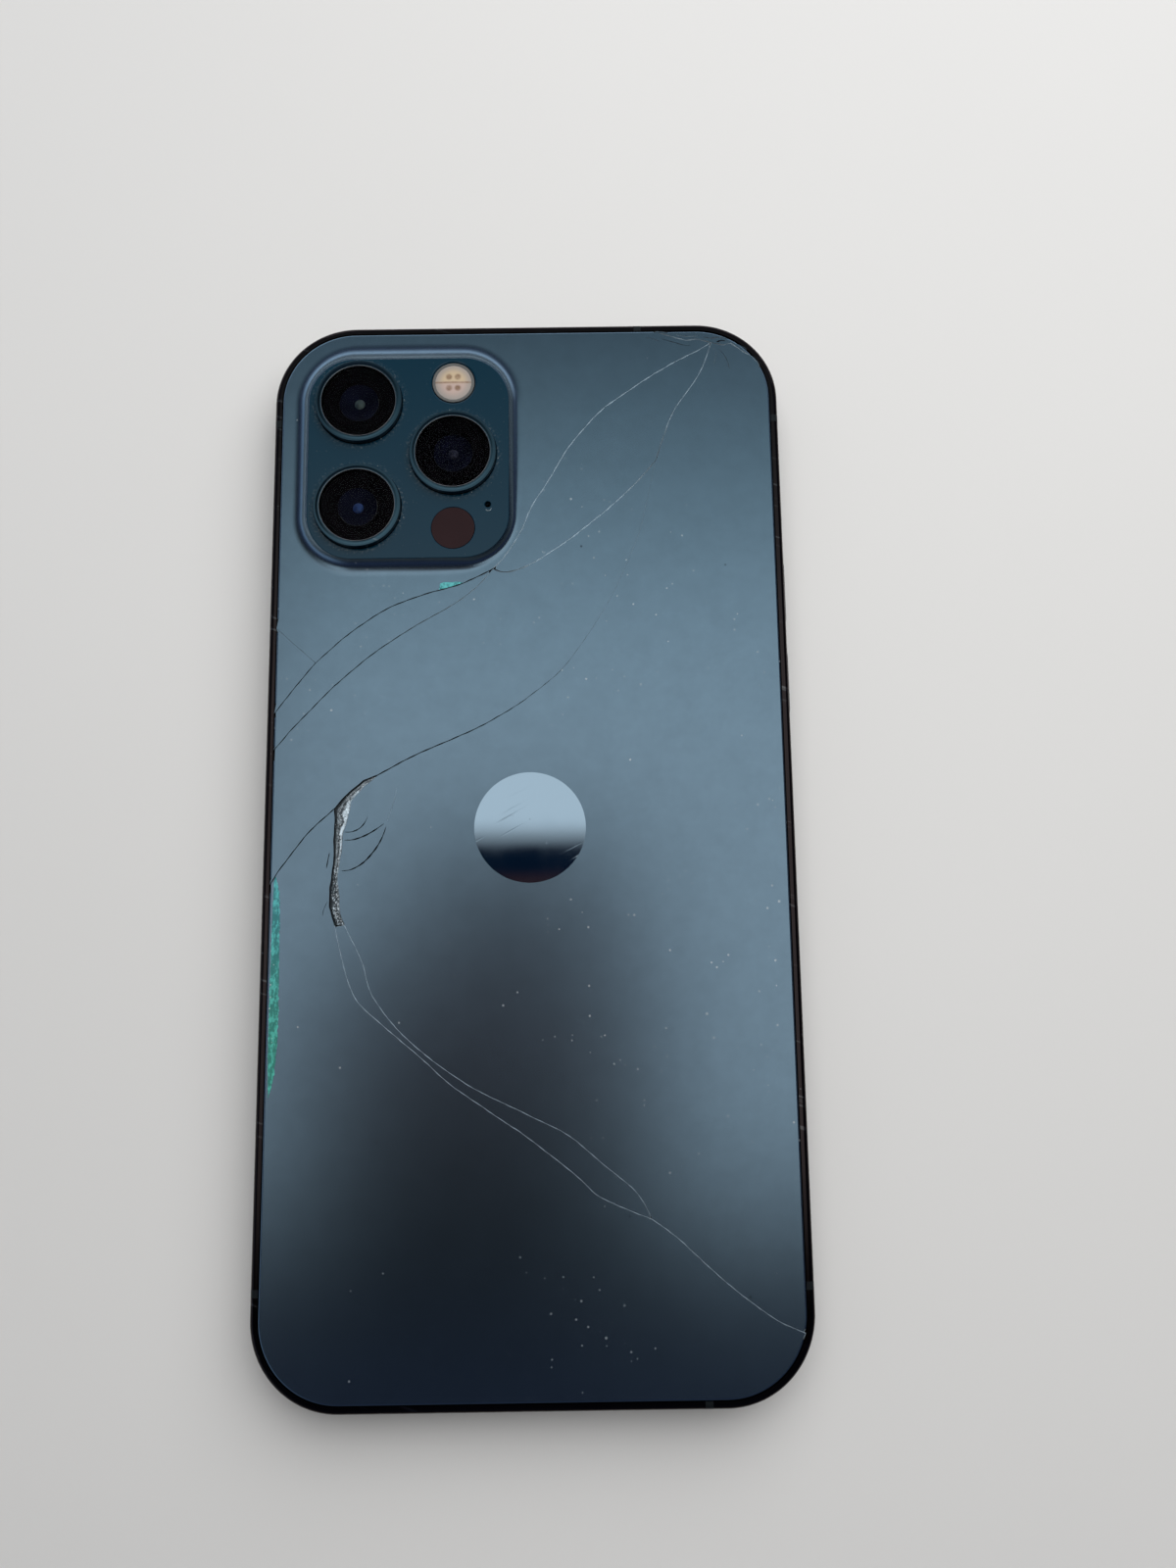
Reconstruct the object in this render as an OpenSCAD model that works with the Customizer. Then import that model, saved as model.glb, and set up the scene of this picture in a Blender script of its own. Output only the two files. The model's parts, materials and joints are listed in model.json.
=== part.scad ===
// A flat-sided smartphone lying on its screen, back up, with its rear glass broken into shards.
// +X is to the right when looking down on the back, +Y is towards the camera end, and +Z is up.
// The origin is under the middle of the screen glass, on the surface that the phone lies on.

/* [Body] */
// Width over the steel band
body_w = 71.5; // [68:0.5:88]
// Length over the steel band
body_l = 146.7; // [120:0.1:180]
// Thickness from screen glass to rear glass
body_t = 7.4; // [7.2:0.1:9]
// Radius of the four corners seen from above
corner_r = 11.4; // [9:0.1:14]

/* [Band] */
// Thickness of the side walls
wall_t = 1.7; // [1.5:0.05:2.2]
// Width of the steel rim beside the glass
rim_w = 1; // [0.8:0.05:1.2]
// Rounding of the band's outer edges
edge_r = 0.6; // [0.3:0.05:0.9]
// Width of each plastic antenna break
break_w = 1; // [0.6:0.1:1.6]
// How far the glass ledge reaches in from the wall
ledge_w = 1.6; // [1.2:0.1:2.4]

/* [Glass] */
// Thickness of the rear glass
rear_glass_t = 0.8; // [0.5:0.05:1]
// Thickness of the screen glass
front_glass_t = 0.8; // [0.5:0.05:1]
// Width of the gap along a crack
crack_gap = 0.08; // [0.04:0.01:0.2]

/* [Cameras] */
// Width of the raised camera plateau
plateau_w = 30.6; // [30:0.1:33]
// Length of the raised camera plateau
plateau_l = 33; // [32:0.1:36]
// Height of the plateau over the rear glass
plateau_h = 1.1; // [0.8:0.1:2]
// Corner radius of the plateau
plateau_r = 8; // [6:0.1:9]
// Outer diameter of a lens ring
ring_d = 12.2; // [11:0.1:13]
// Height of a lens ring over the plateau
ring_h = 0.95; // [0.6:0.05:1.6]
// Diameter of the flat window over each lens
cover_d = 10.4; // [9:0.1:10.8]
// Distance between the two lenses at the left edge
lens_pitch = 15.5; // [14.5:0.1:16.5]
// Diameter of the flash window and of the depth sensor window
window_d = 6; // [5:0.1:6.6]

/* [Controls] */
// Length of the power button
power_l = 17.5; // [12:0.5:20]
// Length of each volume button
volume_l = 9.4; // [8:0.1:10.4]
// Height of the buttons along Z
button_h = 2.6; // [2:0.1:2.7]
// How far the controls stand out of the band
button_proud = 0.35; // [0.2:0.05:0.6]
// How far a button travels when pressed
button_travel = 0.3; // [0.2:0.05:0.3]
// Length of the mute switch's lever
mute_l = 5.2; // [4:0.1:6]
// Height of the mute switch's lever along Z
mute_h = 1.3; // [1:0.1:1.5]
// How far the mute switch slides along Z
mute_travel = 1.4; // [1:0.1:1.5]
// Length of the card tray's door
door_l = 15.6; // [15:0.1:18]
// Height of the card tray's door
door_h = 2.4; // [2:0.1:3]

/* [Port] */
// Width of the charging socket's mouth
port_w = 7.8; // [7:0.1:9]
// Height of the charging socket's mouth
port_h = 2.5; // [2:0.1:3]
// Depth of the charging socket
port_depth = 6.6; // [5:0.1:8]

/* [Hidden] */
$fn = 64;

// Clearances
fit = 0.05;          // round a fixed piece in its seat
overlap = 0.1;       // by which joined shapes of one piece run into each other
slide_fit = 0.08;    // round a button or the card tray
rim_drop = 0.05;     // the glass stands this far proud of the steel rim, front and back
far = 200;           // well outside the phone

// Levels along Z, from the surface that the phone lies on
film_t = 0.1;
plate_t = 0.4;
panel_t = 0.6;
shield_t = 0.2;
z_glass = body_t - rear_glass_t;             // underside of the rear glass
z_ledge = z_glass - film_t;                  // top of the rear ledge and of the mid plate
z_plate = z_ledge - plate_t;                 // underside of the mid plate
z_panel = front_glass_t;                     // the display lies on the screen glass
z_shield = z_panel + panel_t;
z_front_ledge = z_shield + 0.1;
front_ledge_t = 0.5;
rear_ledge_t = 0.6;
z_floor = z_shield + shield_t + 0.15;        // lowest level of the inner pieces
z_plateau = body_t + plateau_h;
z_ring = z_plateau + ring_h;
z_mid = body_t / 2;                          // the controls and the socket lie on this level

// Walls and seats in plan
in_x = body_w / 2 - wall_t;
in_y = body_l / 2 - wall_t;
seat_gap = 0.06;
rear_glass_in = rim_w + seat_gap;            // inset of the rear glass from the band's outside
front_rim_w = 0.9;
front_glass_in = front_rim_w + seat_gap;
front_ledge_w = 0.8;
plate_in = wall_t + ledge_w + fit;
glass_w = body_w - 2 * rear_glass_in;
glass_l = body_l - 2 * rear_glass_in;

// Places of the controls, from the camera end
from_top = body_l / 2;
mute_y = from_top - 27.2;
volume_up_y = from_top - 39.7;
volume_down_y = from_top - 52.8;
power_y = from_top - 46.4;
tray_y = from_top - 78.3;
break_y = from_top - 14.6;
top_break_x = 16;
bottom_break_x = 22;

// Places on the camera plateau
plateau_x = -(body_w / 2 - 18.8);
plateau_y = body_l / 2 - 19.9;
lens_dx = 6.65;
lens_places = [
  [plateau_x - lens_dx, plateau_y + lens_pitch / 2],
  [plateau_x + lens_dx, plateau_y],
  [plateau_x - lens_dx, plateau_y - lens_pitch / 2]
];
flash_place = [plateau_x + lens_dx, plateau_y + 10.7];
depth_place = [plateau_x + lens_dx, plateau_y - 11];
microphone_place = [plateau_x + 11.5, plateau_y - 7.6];
microphone_r = 0.45;

// ---- Plan shapes ----

module rounded(w, l, r) {
  square([w - 2 * r, l], center = true);
  square([w, l - 2 * r], center = true);
  for (x = [-1, 1], y = [-1, 1])
    translate([x * (w / 2 - r), y * (l / 2 - r)]) circle(r);
}

// The body's outline, moved in by a distance
module outline(inset) {
  rounded(body_w - 2 * inset, body_l - 2 * inset, corner_r - inset);
}

// A slot with round ends, long along X
module slot(l, h) {
  square([l - h, h], center = true);
  for (x = [-1, 1]) translate([x * (l - h) / 2, 0]) circle(h / 2);
}

// A sheet or block of the plan shape between two levels
module layer(z0, z1) {
  translate([0, 0, z0]) linear_extrude(z1 - z0) children();
}

// A block between two corners
module block(a, b) {
  translate(a) cube(b - a);
}

// Turns a slot so that it is long along Y and stands on the YZ plane, from x0 to x1
module side_slot(l, h, x0, x1) {
  translate([x0, 0, z_mid]) rotate([90, 0, 90]) linear_extrude(x1 - x0) slot(l, h);
}

// Carries a profile round a rounded rectangle: its x is the distance from the corner's centre
module round_trip(w, l, r) {
  for (i = [0, 1]) rotate(180 * i) {
    translate([w / 2 - r, l / 2 - r, 0]) rotate_extrude(angle = 90) children();
    translate([-(w / 2 - r), l / 2 - r, 0]) rotate(90) rotate_extrude(angle = 90) children();
    translate([w / 2 - r, l / 2 - r, 0]) rotate([90, 0, 0]) linear_extrude(l - 2 * r) children();
    rotate(90) translate([l / 2 - r, w / 2 - r, 0])
      rotate([90, 0, 0]) linear_extrude(w - 2 * r) children();
  }
}

// ---- Steel band ----

module band_profile() {
  x0 = corner_r - wall_t;
  z0 = rim_drop;
  z1 = body_t - rim_drop;
  difference() {
    union() {
      translate([x0, z0]) square([wall_t - edge_r, z1 - z0]);
      translate([x0, z0 + edge_r]) square([wall_t, z1 - z0 - 2 * edge_r]);
      for (z = [z0 + edge_r, z1 - edge_r]) translate([corner_r - edge_r, z]) circle(edge_r);
    }
    translate([x0 - 1, z_ledge]) square([wall_t - rim_w + 1, body_t]);
    translate([x0 - 1, -1]) square([wall_t - front_rim_w + 1, 1 + z_front_ledge]);
  }
  translate([x0 - ledge_w, z_ledge - rear_ledge_t]) square([ledge_w, rear_ledge_t]);
  translate([x0 - front_ledge_w, z_front_ledge]) square([front_ledge_w, front_ledge_t]);
}

module band() {
  round_trip(body_w, body_l, corner_r) band_profile();
}

// The part of the band between two corners of a box in plan
module band_part(a, b) {
  color("#1d2b36") intersection() {
    band();
    block([a[0], a[1], -1], [b[0], b[1], body_t + 1]);
  }
}

// Openings for a button with its flange behind the wall
module button_cut(y, l) {
  translate([0, y, 0]) side_slot(l + 2 * slide_fit, button_h + 2 * slide_fit, in_x - 1, body_w / 2 + 1);
}

module mute_cut() {
  block([in_x - 1, mute_y - mute_l / 2 - slide_fit, mute_z0 - slide_fit],
        [body_w / 2 + 1, mute_y + mute_l / 2 + slide_fit, mute_z0 + mute_h + mute_travel + slide_fit]);
}

module tray_cut() {
  translate([0, tray_y, 0])
    side_slot(door_l + 2 * slide_fit, door_h + 2 * slide_fit, in_x - 1, body_w / 2 + 1);
}

module band_left_rail() {
  difference() {
    band_part([-far, -break_y + break_w / 2], [0, break_y - break_w / 2]);
    mirror([1, 0, 0]) button_cut(power_y, power_l);
  }
}

module band_right_rail() {
  difference() {
    band_part([0, -break_y + break_w / 2], [far, break_y - break_w / 2]);
    button_cut(volume_up_y, volume_l);
    button_cut(volume_down_y, volume_l);
    mute_cut();
    tray_cut();
  }
}

module band_top_left() {
  band_part([-far, break_y + break_w / 2], [top_break_x - break_w / 2, far]);
}

module band_top_right() {
  band_part([top_break_x + break_w / 2, break_y + break_w / 2], [far, far]);
}

// Bottom edge: holes for sound, for the two screws and for the socket
sound_hole_r = 0.75;
sound_pitch = 2.55;
sound_x = 11.2;
speaker_x = [for (i = [0 : 5]) -sound_x - i * sound_pitch];
voice_x = [for (i = [0 : 2]) sound_x + i * sound_pitch];
bottom_screw_x = 7.2;
screw_head_r = 0.85;
screw_head_t = 0.8;
screw_r = 0.55;
lug_w = 2.6;
lug_room = 0.2;
lug_l = 3;

module along_y(x, z, y0, y1, r) {
  translate([x, y0, z]) rotate([-90, 0, 0]) cylinder(h = y1 - y0, r = r);
}

module bottom_cuts() {
  outer_y = -body_l / 2;
  for (x = concat(speaker_x, voice_x)) along_y(x, z_mid, outer_y - 1, -in_y + 1, sound_hole_r);
  for (s = [-1, 1]) {
    along_y(s * bottom_screw_x, z_mid, outer_y - 1, outer_y + screw_head_t + fit, screw_head_r + fit);
    along_y(s * bottom_screw_x, z_mid, outer_y - 1, -in_y + 1, screw_r + fit);
    notch_x = lug_w / 2 + lug_room;
    block([s * bottom_screw_x - notch_x, -in_y, z_front_ledge - 1],
          [s * bottom_screw_x + notch_x, -in_y + ledge_w + 1, z_front_ledge + front_ledge_t + 1]);
  }
  translate([0, outer_y - 1, z_mid]) rotate([-90, 0, 0]) linear_extrude(wall_t + 2) slot(port_w, port_h);
}

module band_bottom_left() {
  difference() {
    band_part([-far, -far], [bottom_break_x - break_w / 2, -break_y - break_w / 2]);
    bottom_cuts();
  }
}

module band_bottom_right() {
  difference() {
    band_part([bottom_break_x + break_w / 2, -far], [far, -break_y - break_w / 2]);
    bottom_cuts();
  }
}

// Six strips of plastic that part the band's pieces
module antenna_breaks() {
  color("#27323b") intersection() {
    band();
    union() {
      for (y = [-1, 1], x = [-1, 1])
        translate([x * body_w / 2, y * break_y, z_mid])
          cube([body_w / 2, break_w, 2 * body_t], center = true);
      translate([top_break_x, body_l / 2, z_mid]) cube([break_w, 20, 2 * body_t], center = true);
      translate([bottom_break_x, -body_l / 2, z_mid]) cube([break_w, 20, 2 * body_t], center = true);
    }
  }
}

// ---- Cracks in the rear glass ----
// Each route was chosen by hand for a pane of this size, with the plateau's inner corner at this place.
// It stretches with the pane on each side of that corner, so that it stays clear of the plateau.
route_w = 69.38;
route_l = 144.58;
route_corner = [-1.65, 36.95];
route_over = 10;          // routes run on past the pane's edge

function stretched(v, route_size, route_knee, pane_size, knee) = lookup(v, [
  [-route_size / 2 - route_over, -pane_size / 2 - route_over], [-route_size / 2, -pane_size / 2],
  [route_knee, knee],
  [route_size / 2, pane_size / 2], [route_size / 2 + route_over, pane_size / 2 + route_over]
]);
function on_pane(p) = [for (q = p) [
  stretched(q[0], route_w, route_corner[0], glass_w, plateau_x + plateau_w / 2),
  stretched(q[1], route_l, route_corner[1], glass_l, plateau_y - plateau_l / 2)
]];

// A smooth line through the points (Catmull-Rom), with n steps to each span
function smooth(p, n = 3) = [
  for (i = [0 : len(p) - 2], k = [0 : n - 1])
    let (a = p[max(i - 1, 0)], b = p[i], c = p[i + 1], d = p[min(i + 2, len(p) - 1)], t = k / n)
      0.5 * (2 * b + (c - a) * t + (2 * a - 5 * b + 4 * c - d) * t ^ 2 + (3 * b - a - 3 * c + d) * t ^ 3),
  p[len(p) - 1]
];
function turned(p) = [for (i = [len(p) - 1 : -1 : 0]) p[i]];
function crack(p) = smooth(on_pane(p));

impact = [26.6, 70.4];
fork = [18.3, 52.6];
knot = [-4.8, 36.8];
edge_meeting = [-29.2, 23.6];
strip_top = [-20.5, 7.8];
strip_left = [-26.2, 3.3];
strip_end_left = [-25.9, -12.3];
strip_end_right = [-24.6, -12.4];
lower_meeting = [15.4, -50.4];

// From the struck corner
upper_crack = crack([impact, [24.5, 69.1], [20, 66.7], [15, 63.4], [10.5, 60], [6.2, 55], [3.2, 50],
  [2.4, 48.6], [0.6, 45.8], [-1, 42], [-3.2, 38.6], knot]);
fork_crack = crack([impact, [24.8, 65.7], [21, 60], [19.2, 55.5], fork]);
fork_to_knot = crack([fork, [14.2, 48], [8, 42.6], [2, 38.3], [-1.5, 36.6], [-3.4, 36.3], knot]);
long_crack = crack([fork, [17.3, 48.5], [15.7, 42], [12.8, 35], [10, 29.8], [5, 22.7], [0, 18.4],
  [-5, 15.2], [-10, 12.8], [-15, 10.7], strip_top]);
knot_to_edge = crack([knot, [-6.5, 35.9], [-10, 34.4], [-15, 33], [-20, 30.9], [-25, 27.4], edge_meeting]);
edge_meeting_out = crack([edge_meeting, [-31, 21.4], [-34.4, 16.9], [-36, 14.8]]);
edge_crack = crack([[-37, 30.4], [-34.5, 28.4], [-31, 25.2], edge_meeting]);
second_to_edge = crack([knot, [-7, 34.3], [-10, 31.9], [-15, 29], [-20.5, 25.4], [-26, 20.8],
  [-31.5, 15.1], [-34.5, 11.6], [-37, 9]]);
long_crack_out = crack([strip_left, [-29.7, 0], [-33.2, -4.6], [-34.6, -6.8], [-37, -10]]);
upper_loop = crack([strip_end_right, [-22.2, -17.3], [-20.6, -22], [-16, -27.5], [-9.5, -32.5],
  [-5, -35], [0, -37.4], [5, -40], [9.3, -43.6], [13.3, -46.9], lower_meeting]);
lower_loop = crack([strip_end_left, [-25.2, -15.5], [-23.3, -21.5], [-20, -25], [-15, -29.2],
  [-10.5, -33.2], [-5, -37], [0, -40.4], [6, -45.1], [9, -47.7], lower_meeting]);
lower_crack = crack([lower_meeting, [19, -53.1], [24, -57.7], [30, -62.3], [34.5, -64.5], [38, -66]]);

// The chipped corner and the crushed strip keep their jagged corners
chip_left = on_pane([[17.5, 75], [19.2, 72], [21, 71.4], [23, 70.8], [24.5, 71], impact]);
chip_right = on_pane([impact, [28.3, 70], [29.4, 70.3], [31.1, 69], [32.4, 68.2], [33.4, 67], [37, 66.2]]);
strip_upper = on_pane([strip_top, [-22.3, 7.1], [-23.4, 6.2], [-24.9, 4.9], strip_left]);
strip_left_side = on_pane([strip_left, [-26.1, 1.5], [-26.2, -1], [-26.1, -3], [-26.3, -5], [-26.6, -7.5],
  [-26.6, -10], strip_end_left]);
strip_right_side = on_pane([strip_top, [-22.4, 6.2], [-23.5, 5], [-24.1, 4.2], [-24.2, 3], [-24.7, 1],
  [-25.1, 0], [-25.2, -2], [-25.5, -4.6], [-25.7, -6.2], [-25.4, -8.5], [-25.3, -10.8], strip_end_right]);

lower_crack_end = lower_crack[len(lower_crack) - 1];
chip_right_end = chip_right[len(chip_right) - 1];

// A piece of the pane: what the pane's outline and a region of cracks have in common
module pane_piece(region) {
  intersection() {
    outline(rear_glass_in);
    offset(delta = -crack_gap / 2) polygon(region);
  }
}

module shard(region) {
  color("#33506a") layer(z_glass, body_t) pane_piece(region);
}

module plateau_holes() {
  for (p = lens_places) translate(p) circle(ring_d / 2 + fit);
  translate(flash_place) circle(window_d / 2 + fit);
  translate(depth_place) circle(window_d / 2 + fit);
  translate(microphone_place) circle(microphone_r);
}

// The plateau is one glass with the shard round it, and has a rounded upper edge
module plateau() {
  edge = 0.7;
  r = plateau_r;
  translate([plateau_x, plateau_y, 0]) {
    round_trip(plateau_w, plateau_l, r) {
      union() {
        translate([0, z_glass]) square([r, z_plateau - edge - z_glass]);
        translate([0, z_glass]) square([r - edge, z_plateau - z_glass]);
        translate([r - edge, z_plateau - edge]) circle(edge);
      }
    }
    translate([0, 0, (z_glass + z_plateau) / 2])
      cube([plateau_w - 2 * r, plateau_l - 2 * r, z_plateau - z_glass], center = true);
  }
}

module rear_glass_camera_shard() {
  region = concat(chip_left, upper_crack, knot_to_edge, turned(edge_crack),
    [[-far, edge_crack[0][1]], [-far, far], [chip_left[0][0], far]]);
  color("#33506a") difference() {
    union() {
      layer(z_glass, body_t) pane_piece(region);
      plateau();
    }
    layer(0, z_plateau + 1) plateau_holes();
  }
}

module rear_glass_edge_sliver() {
  shard(concat(edge_crack, edge_meeting_out));
}

module rear_glass_upper_sliver() {
  shard(concat(upper_crack, turned(fork_to_knot), turned(fork_crack)));
}

module rear_glass_left_wedge() {
  shard(concat(knot_to_edge, edge_meeting_out, turned(second_to_edge)));
}

module rear_glass_middle_shard() {
  shard(concat(fork_to_knot, second_to_edge, turned(long_crack_out), turned(strip_upper),
    turned(long_crack)));
}

module rear_glass_right_shard() {
  shard(concat(fork_crack, long_crack, strip_right_side, upper_loop, lower_crack,
    [[far, lower_crack_end[1]], [far, chip_right_end[1]]], turned(chip_right)));
}

module rear_glass_lower_shard() {
  shard(concat(long_crack_out, [[-far, -far], [far, -far], [far, lower_crack_end[1]]], turned(lower_crack),
    turned(lower_loop), turned(strip_left_side)));
}

module rear_glass_thin_sliver() {
  shard(concat(upper_loop, turned(lower_loop)));
}

module rear_glass_corner_chip() {
  sunk = 0.1;
  region = concat(chip_left, chip_right, [[far, far]]);
  color("#2c465c") layer(z_glass, body_t - sunk) pane_piece(region);
}

// Glass ground to crumbs, lower than the pane round it
module rear_glass_crushed_strip() {
  sunk = 0.25;
  region = concat(strip_upper, strip_left_side, turned(strip_right_side));
  color("#8d959b") layer(z_glass, body_t - sunk) pane_piece(region);
}

// ---- Behind the rear glass ----

coil_x = 0;
coil_y = 0;
magnet_r = 27.8;
magnet_w = 3.6;
magnet_room = 0.3;
coil_r = 22;
coil_w = 11;
coil_t = 0.45;
film_in = 0.15;           // the film ends this far inside the glass

module colour_film() {
  color("#2f9c8b") layer(z_ledge, z_glass) difference() {
    outline(rear_glass_in + film_in);
    plateau_holes();
  }
}

ring_flange_r = ring_d / 2 + 0.7;
hole_room = 0.3;          // round the windows and what stands under them
screw_boss_r = 1.4;
small_screw_r = 0.5;
small_head_r = 0.9;
small_head_t = 0.5;

// Steel sheet inside the band, with bosses for the small screws
module mid_plate() {
  color("#8c9196") difference() {
    union() {
      layer(z_plate, z_ledge) difference() {
        outline(plate_in);
        translate([coil_x, coil_y]) circle(magnet_r + magnet_room);
        for (p = lens_places) translate(p) circle(ring_flange_r + fit);
        for (p = [flash_place, depth_place]) translate(p) circle(window_d / 2 + hole_room);
        translate(microphone_place) circle(microphone_r + hole_room);
      }
      for (s = screw_places)
        translate([s[0], s[1], s[2]]) cylinder(h = z_plate - s[2] + plate_t / 2, r = screw_boss_r);
    }
    for (s = screw_places)
      translate([s[0], s[1], s[2] - 1]) cylinder(h = z_plate - s[2] + 1, r = small_screw_r);
  }
}

module charging_coil() {
  color("#b87333") layer(z_ledge - coil_t, z_ledge) translate([coil_x, coil_y]) difference() {
    circle(coil_r);
    circle(coil_r - coil_w);
  }
}

magnet_count = 18;
magnet_gap = 1;
module magnet_ring() {
  magnet_l = 2 * PI * (magnet_r - magnet_w) / magnet_count - magnet_gap;
  color("#9a9ca0") layer(z_plate, z_ledge) translate([coil_x, coil_y])
    for (i = [0 : magnet_count - 1]) rotate((i + 0.5) * 360 / magnet_count)
      translate([magnet_r - magnet_w / 2, 0]) square([magnet_w, magnet_l], center = true);
}

// ---- Cameras ----

ring_face = 0.12;         // the window lies this far under the ring's top
cover_t = 0.6;
ring_bevel = 0.25;
z_cover = z_ring - ring_face - cover_t;

ring_foot = 0.2;          // the ring's flange reaches this far under the mid plate
cover_seat_w = 0.6;
cover_seat_t = 0.3;
module lens_ring(i) {
  ro = ring_d / 2;
  rc = cover_d / 2 + fit;
  seat_r = rc - cover_seat_w;
  bore_r = barrel_r + 0.7;
  color("#3c5466") translate(lens_places[i]) rotate_extrude() polygon([
    [bore_r, z_plate - ring_foot], [ring_flange_r, z_plate - ring_foot], [ring_flange_r, z_ledge - fit],
    [ro, z_ledge - fit], [ro, z_ring - ring_bevel], [ro - ring_bevel, z_ring],
    [rc + ring_bevel, z_ring], [rc, z_ring - ring_bevel], [rc, z_cover],
    [seat_r, z_cover], [seat_r, z_cover - cover_seat_t], [bore_r, z_cover - cover_seat_t]
  ]);
}

module lens_cover(i) {
  color("#10141a") layer(z_cover, z_cover + cover_t) translate(lens_places[i]) circle(d = cover_d);
}

camera_w = 11.4;
barrel_r = 4.3;
z_shoulder = z_plate - 0.3;      // top of the square housings, under the mid plate

// A square housing, and a barrel with three steps down towards the lens
module camera(i) {
  barrel_top = z_cover - 0.4;
  step_r = 0.62;
  step_h = 0.4;
  color("#17181b") translate(lens_places[i]) difference() {
    union() {
      layer(z_floor, z_shoulder) square(camera_w, center = true);
      translate([0, 0, z_shoulder]) cylinder(h = barrel_top - z_shoulder, r = barrel_r);
    }
    for (k = [1 : 3]) translate([0, 0, barrel_top - k * step_h]) cylinder(h = 2, r = barrel_r - k * step_r);
  }
}

bracket_t = 0.5;
z_bracket = z_plate - 1.1;
z_flash = z_plate - 1.3;
depth_w = 6.8;
flash_w = 6.3;
module camera_bracket() {
  color("#85898d") layer(z_bracket, z_bracket + bracket_t) difference() {
    translate([plateau_x, plateau_y]) rounded(plateau_w - 2, plateau_l - 1.4, 5.8);
    for (p = lens_places) translate(p) square(camera_w + 2 * fit, center = true);
    translate(flash_place) square(flash_w + 2 * fit, center = true);
    translate(depth_place) square(depth_w + 2 * fit, center = true);
    translate(microphone_place) square([3, 3.2], center = true);
  }
}

module window(place, t, c) {
  color(c) translate([place[0], place[1], z_plateau - t]) cylinder(h = t, d = window_d);
}

flash_window_t = 0.9;
depth_window_t = 0.8;
module flash_window() { window(flash_place, flash_window_t, "#f1dcc0"); }
module depth_sensor_window() { window(depth_place, depth_window_t, "#2b2225"); }

// A board with four light chips under the window
module flash_module() {
  chip_w = 1.3;
  chip_x = 0.9;
  chip_t = 0.4;
  top = z_plateau - flash_window_t - 0.25;
  color("#d9c07a") translate(flash_place) {
    layer(z_flash, z_shoulder) square(flash_w, center = true);
    layer(z_shoulder, top - chip_t) circle(window_d / 2 - hole_room);
    for (x = [-1, 1], y = [-1, 1])
      layer(top - chip_t, top) translate([x * chip_x, y * chip_x]) square(chip_w, center = true);
  }
}

module depth_sensor() {
  color("#24262b") translate(depth_place) {
    layer(z_floor + 0.6, z_shoulder) square(depth_w, center = true);
    layer(z_shoulder, z_plateau - depth_window_t - 0.1) circle(window_d / 2 - hole_room);
  }
}

module rear_microphone() {
  can_w = 2.6;
  can_l = 2.8;
  color("#b9a46a") translate(microphone_place) difference() {
    layer(z_bracket, z_plate - fit) square([can_w, can_l], center = true);
    layer(z_plate - 0.6, z_plate) circle(microphone_r * 2 / 3);
  }
}

// ---- Controls ----

flange_t = 0.5;
flange_x = in_x - fit - flange_t;      // inner face of a button's flange
flange_over = 0.35;                    // flange height beyond the button
flange_end = 0.8;                      // flange length beyond the button
plunger_l = 0.5;
dome_gap = 0.05;                       // left between plunger and dome at full travel
mute_z0 = z_mid - (mute_h + mute_travel) / 2;

module button(y, l) {
  color("#22313d") translate([0, y, 0]) {
    side_slot(l, button_h, flange_x + flange_t / 2, body_w / 2 + button_proud);
    block([flange_x, -l / 2 - flange_end, z_mid - button_h / 2 - flange_over],
          [flange_x + flange_t, l / 2 + flange_end, z_mid + button_h / 2 + flange_over]);
    translate([flange_x - plunger_l, 0, z_mid]) rotate([0, 90, 0]) cylinder(h = plunger_l + 0.1, r = 0.7);
  }
}

module power_button() { mirror([1, 0, 0]) button(power_y, power_l); }
module volume_up_button() { button(volume_up_y, volume_l); }
module volume_down_button() { button(volume_down_y, volume_l); }

module mute_switch() {
  color("#22313d") translate([0, mute_y, mute_z0]) {
    block([flange_x + flange_t / 2, -mute_l / 2, 0], [body_w / 2 + button_proud, mute_l / 2, mute_h]);
    block([flange_x, -mute_l / 2 - 0.5, 0], [flange_x + flange_t, mute_l / 2 + 0.5, mute_h]);
  }
}

// A bent strip behind a button, with its dome, that stands on the wall at both ends
bracket_strip_t = 0.3;
dome_top_x = flange_x - plunger_l - button_travel - dome_gap;
dome_h = 0.35;
dome_r = 1.2;
strip_x = dome_top_x - dome_h;
foot_w = 0.9;
half_h = 1.4;              // half the strip's height

module dome_strip(y0, y1, dome_ys) {
  z0 = z_mid - half_h;
  z1 = z_mid + half_h;
  block([strip_x - bracket_strip_t, y0, z0], [strip_x, y1, z1]);
  for (y = [y0, y1 - foot_w]) block([strip_x - bracket_strip_t, y, z0], [in_x - fit, y + foot_w, z1]);
  for (y = dome_ys) translate([strip_x - overlap, y, z_mid])
    rotate([0, 90, 0]) cylinder(h = dome_h + overlap, r = dome_r);
}

strip_over = 1.2;          // the strip's feet stand this far past a button's flange
module power_switch_flex() {
  half = power_l / 2 + flange_end + strip_over;
  color("#c48a3a") mirror([1, 0, 0]) dome_strip(power_y - half, power_y + half, [power_y]);
}

module volume_switch_flex() {
  half = volume_l / 2 + flange_end + strip_over;
  color("#c48a3a") {
    dome_strip(volume_down_y - half, mute_y - mute_l / 2 - strip_over, [volume_up_y, volume_down_y]);
    block([strip_x - bracket_strip_t, mute_y - mute_l / 2 - strip_over - overlap, z_mid - half_h],
          [strip_x, mute_y + mute_l / 2 + 1, z_mid + half_h]);
    block([strip_x - overlap, mute_y - mute_l / 2, z_mid - half_h],
          [flange_x - slide_fit, mute_y + mute_l / 2, z_mid + half_h]);
  }
}

// ---- Card tray ----

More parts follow.
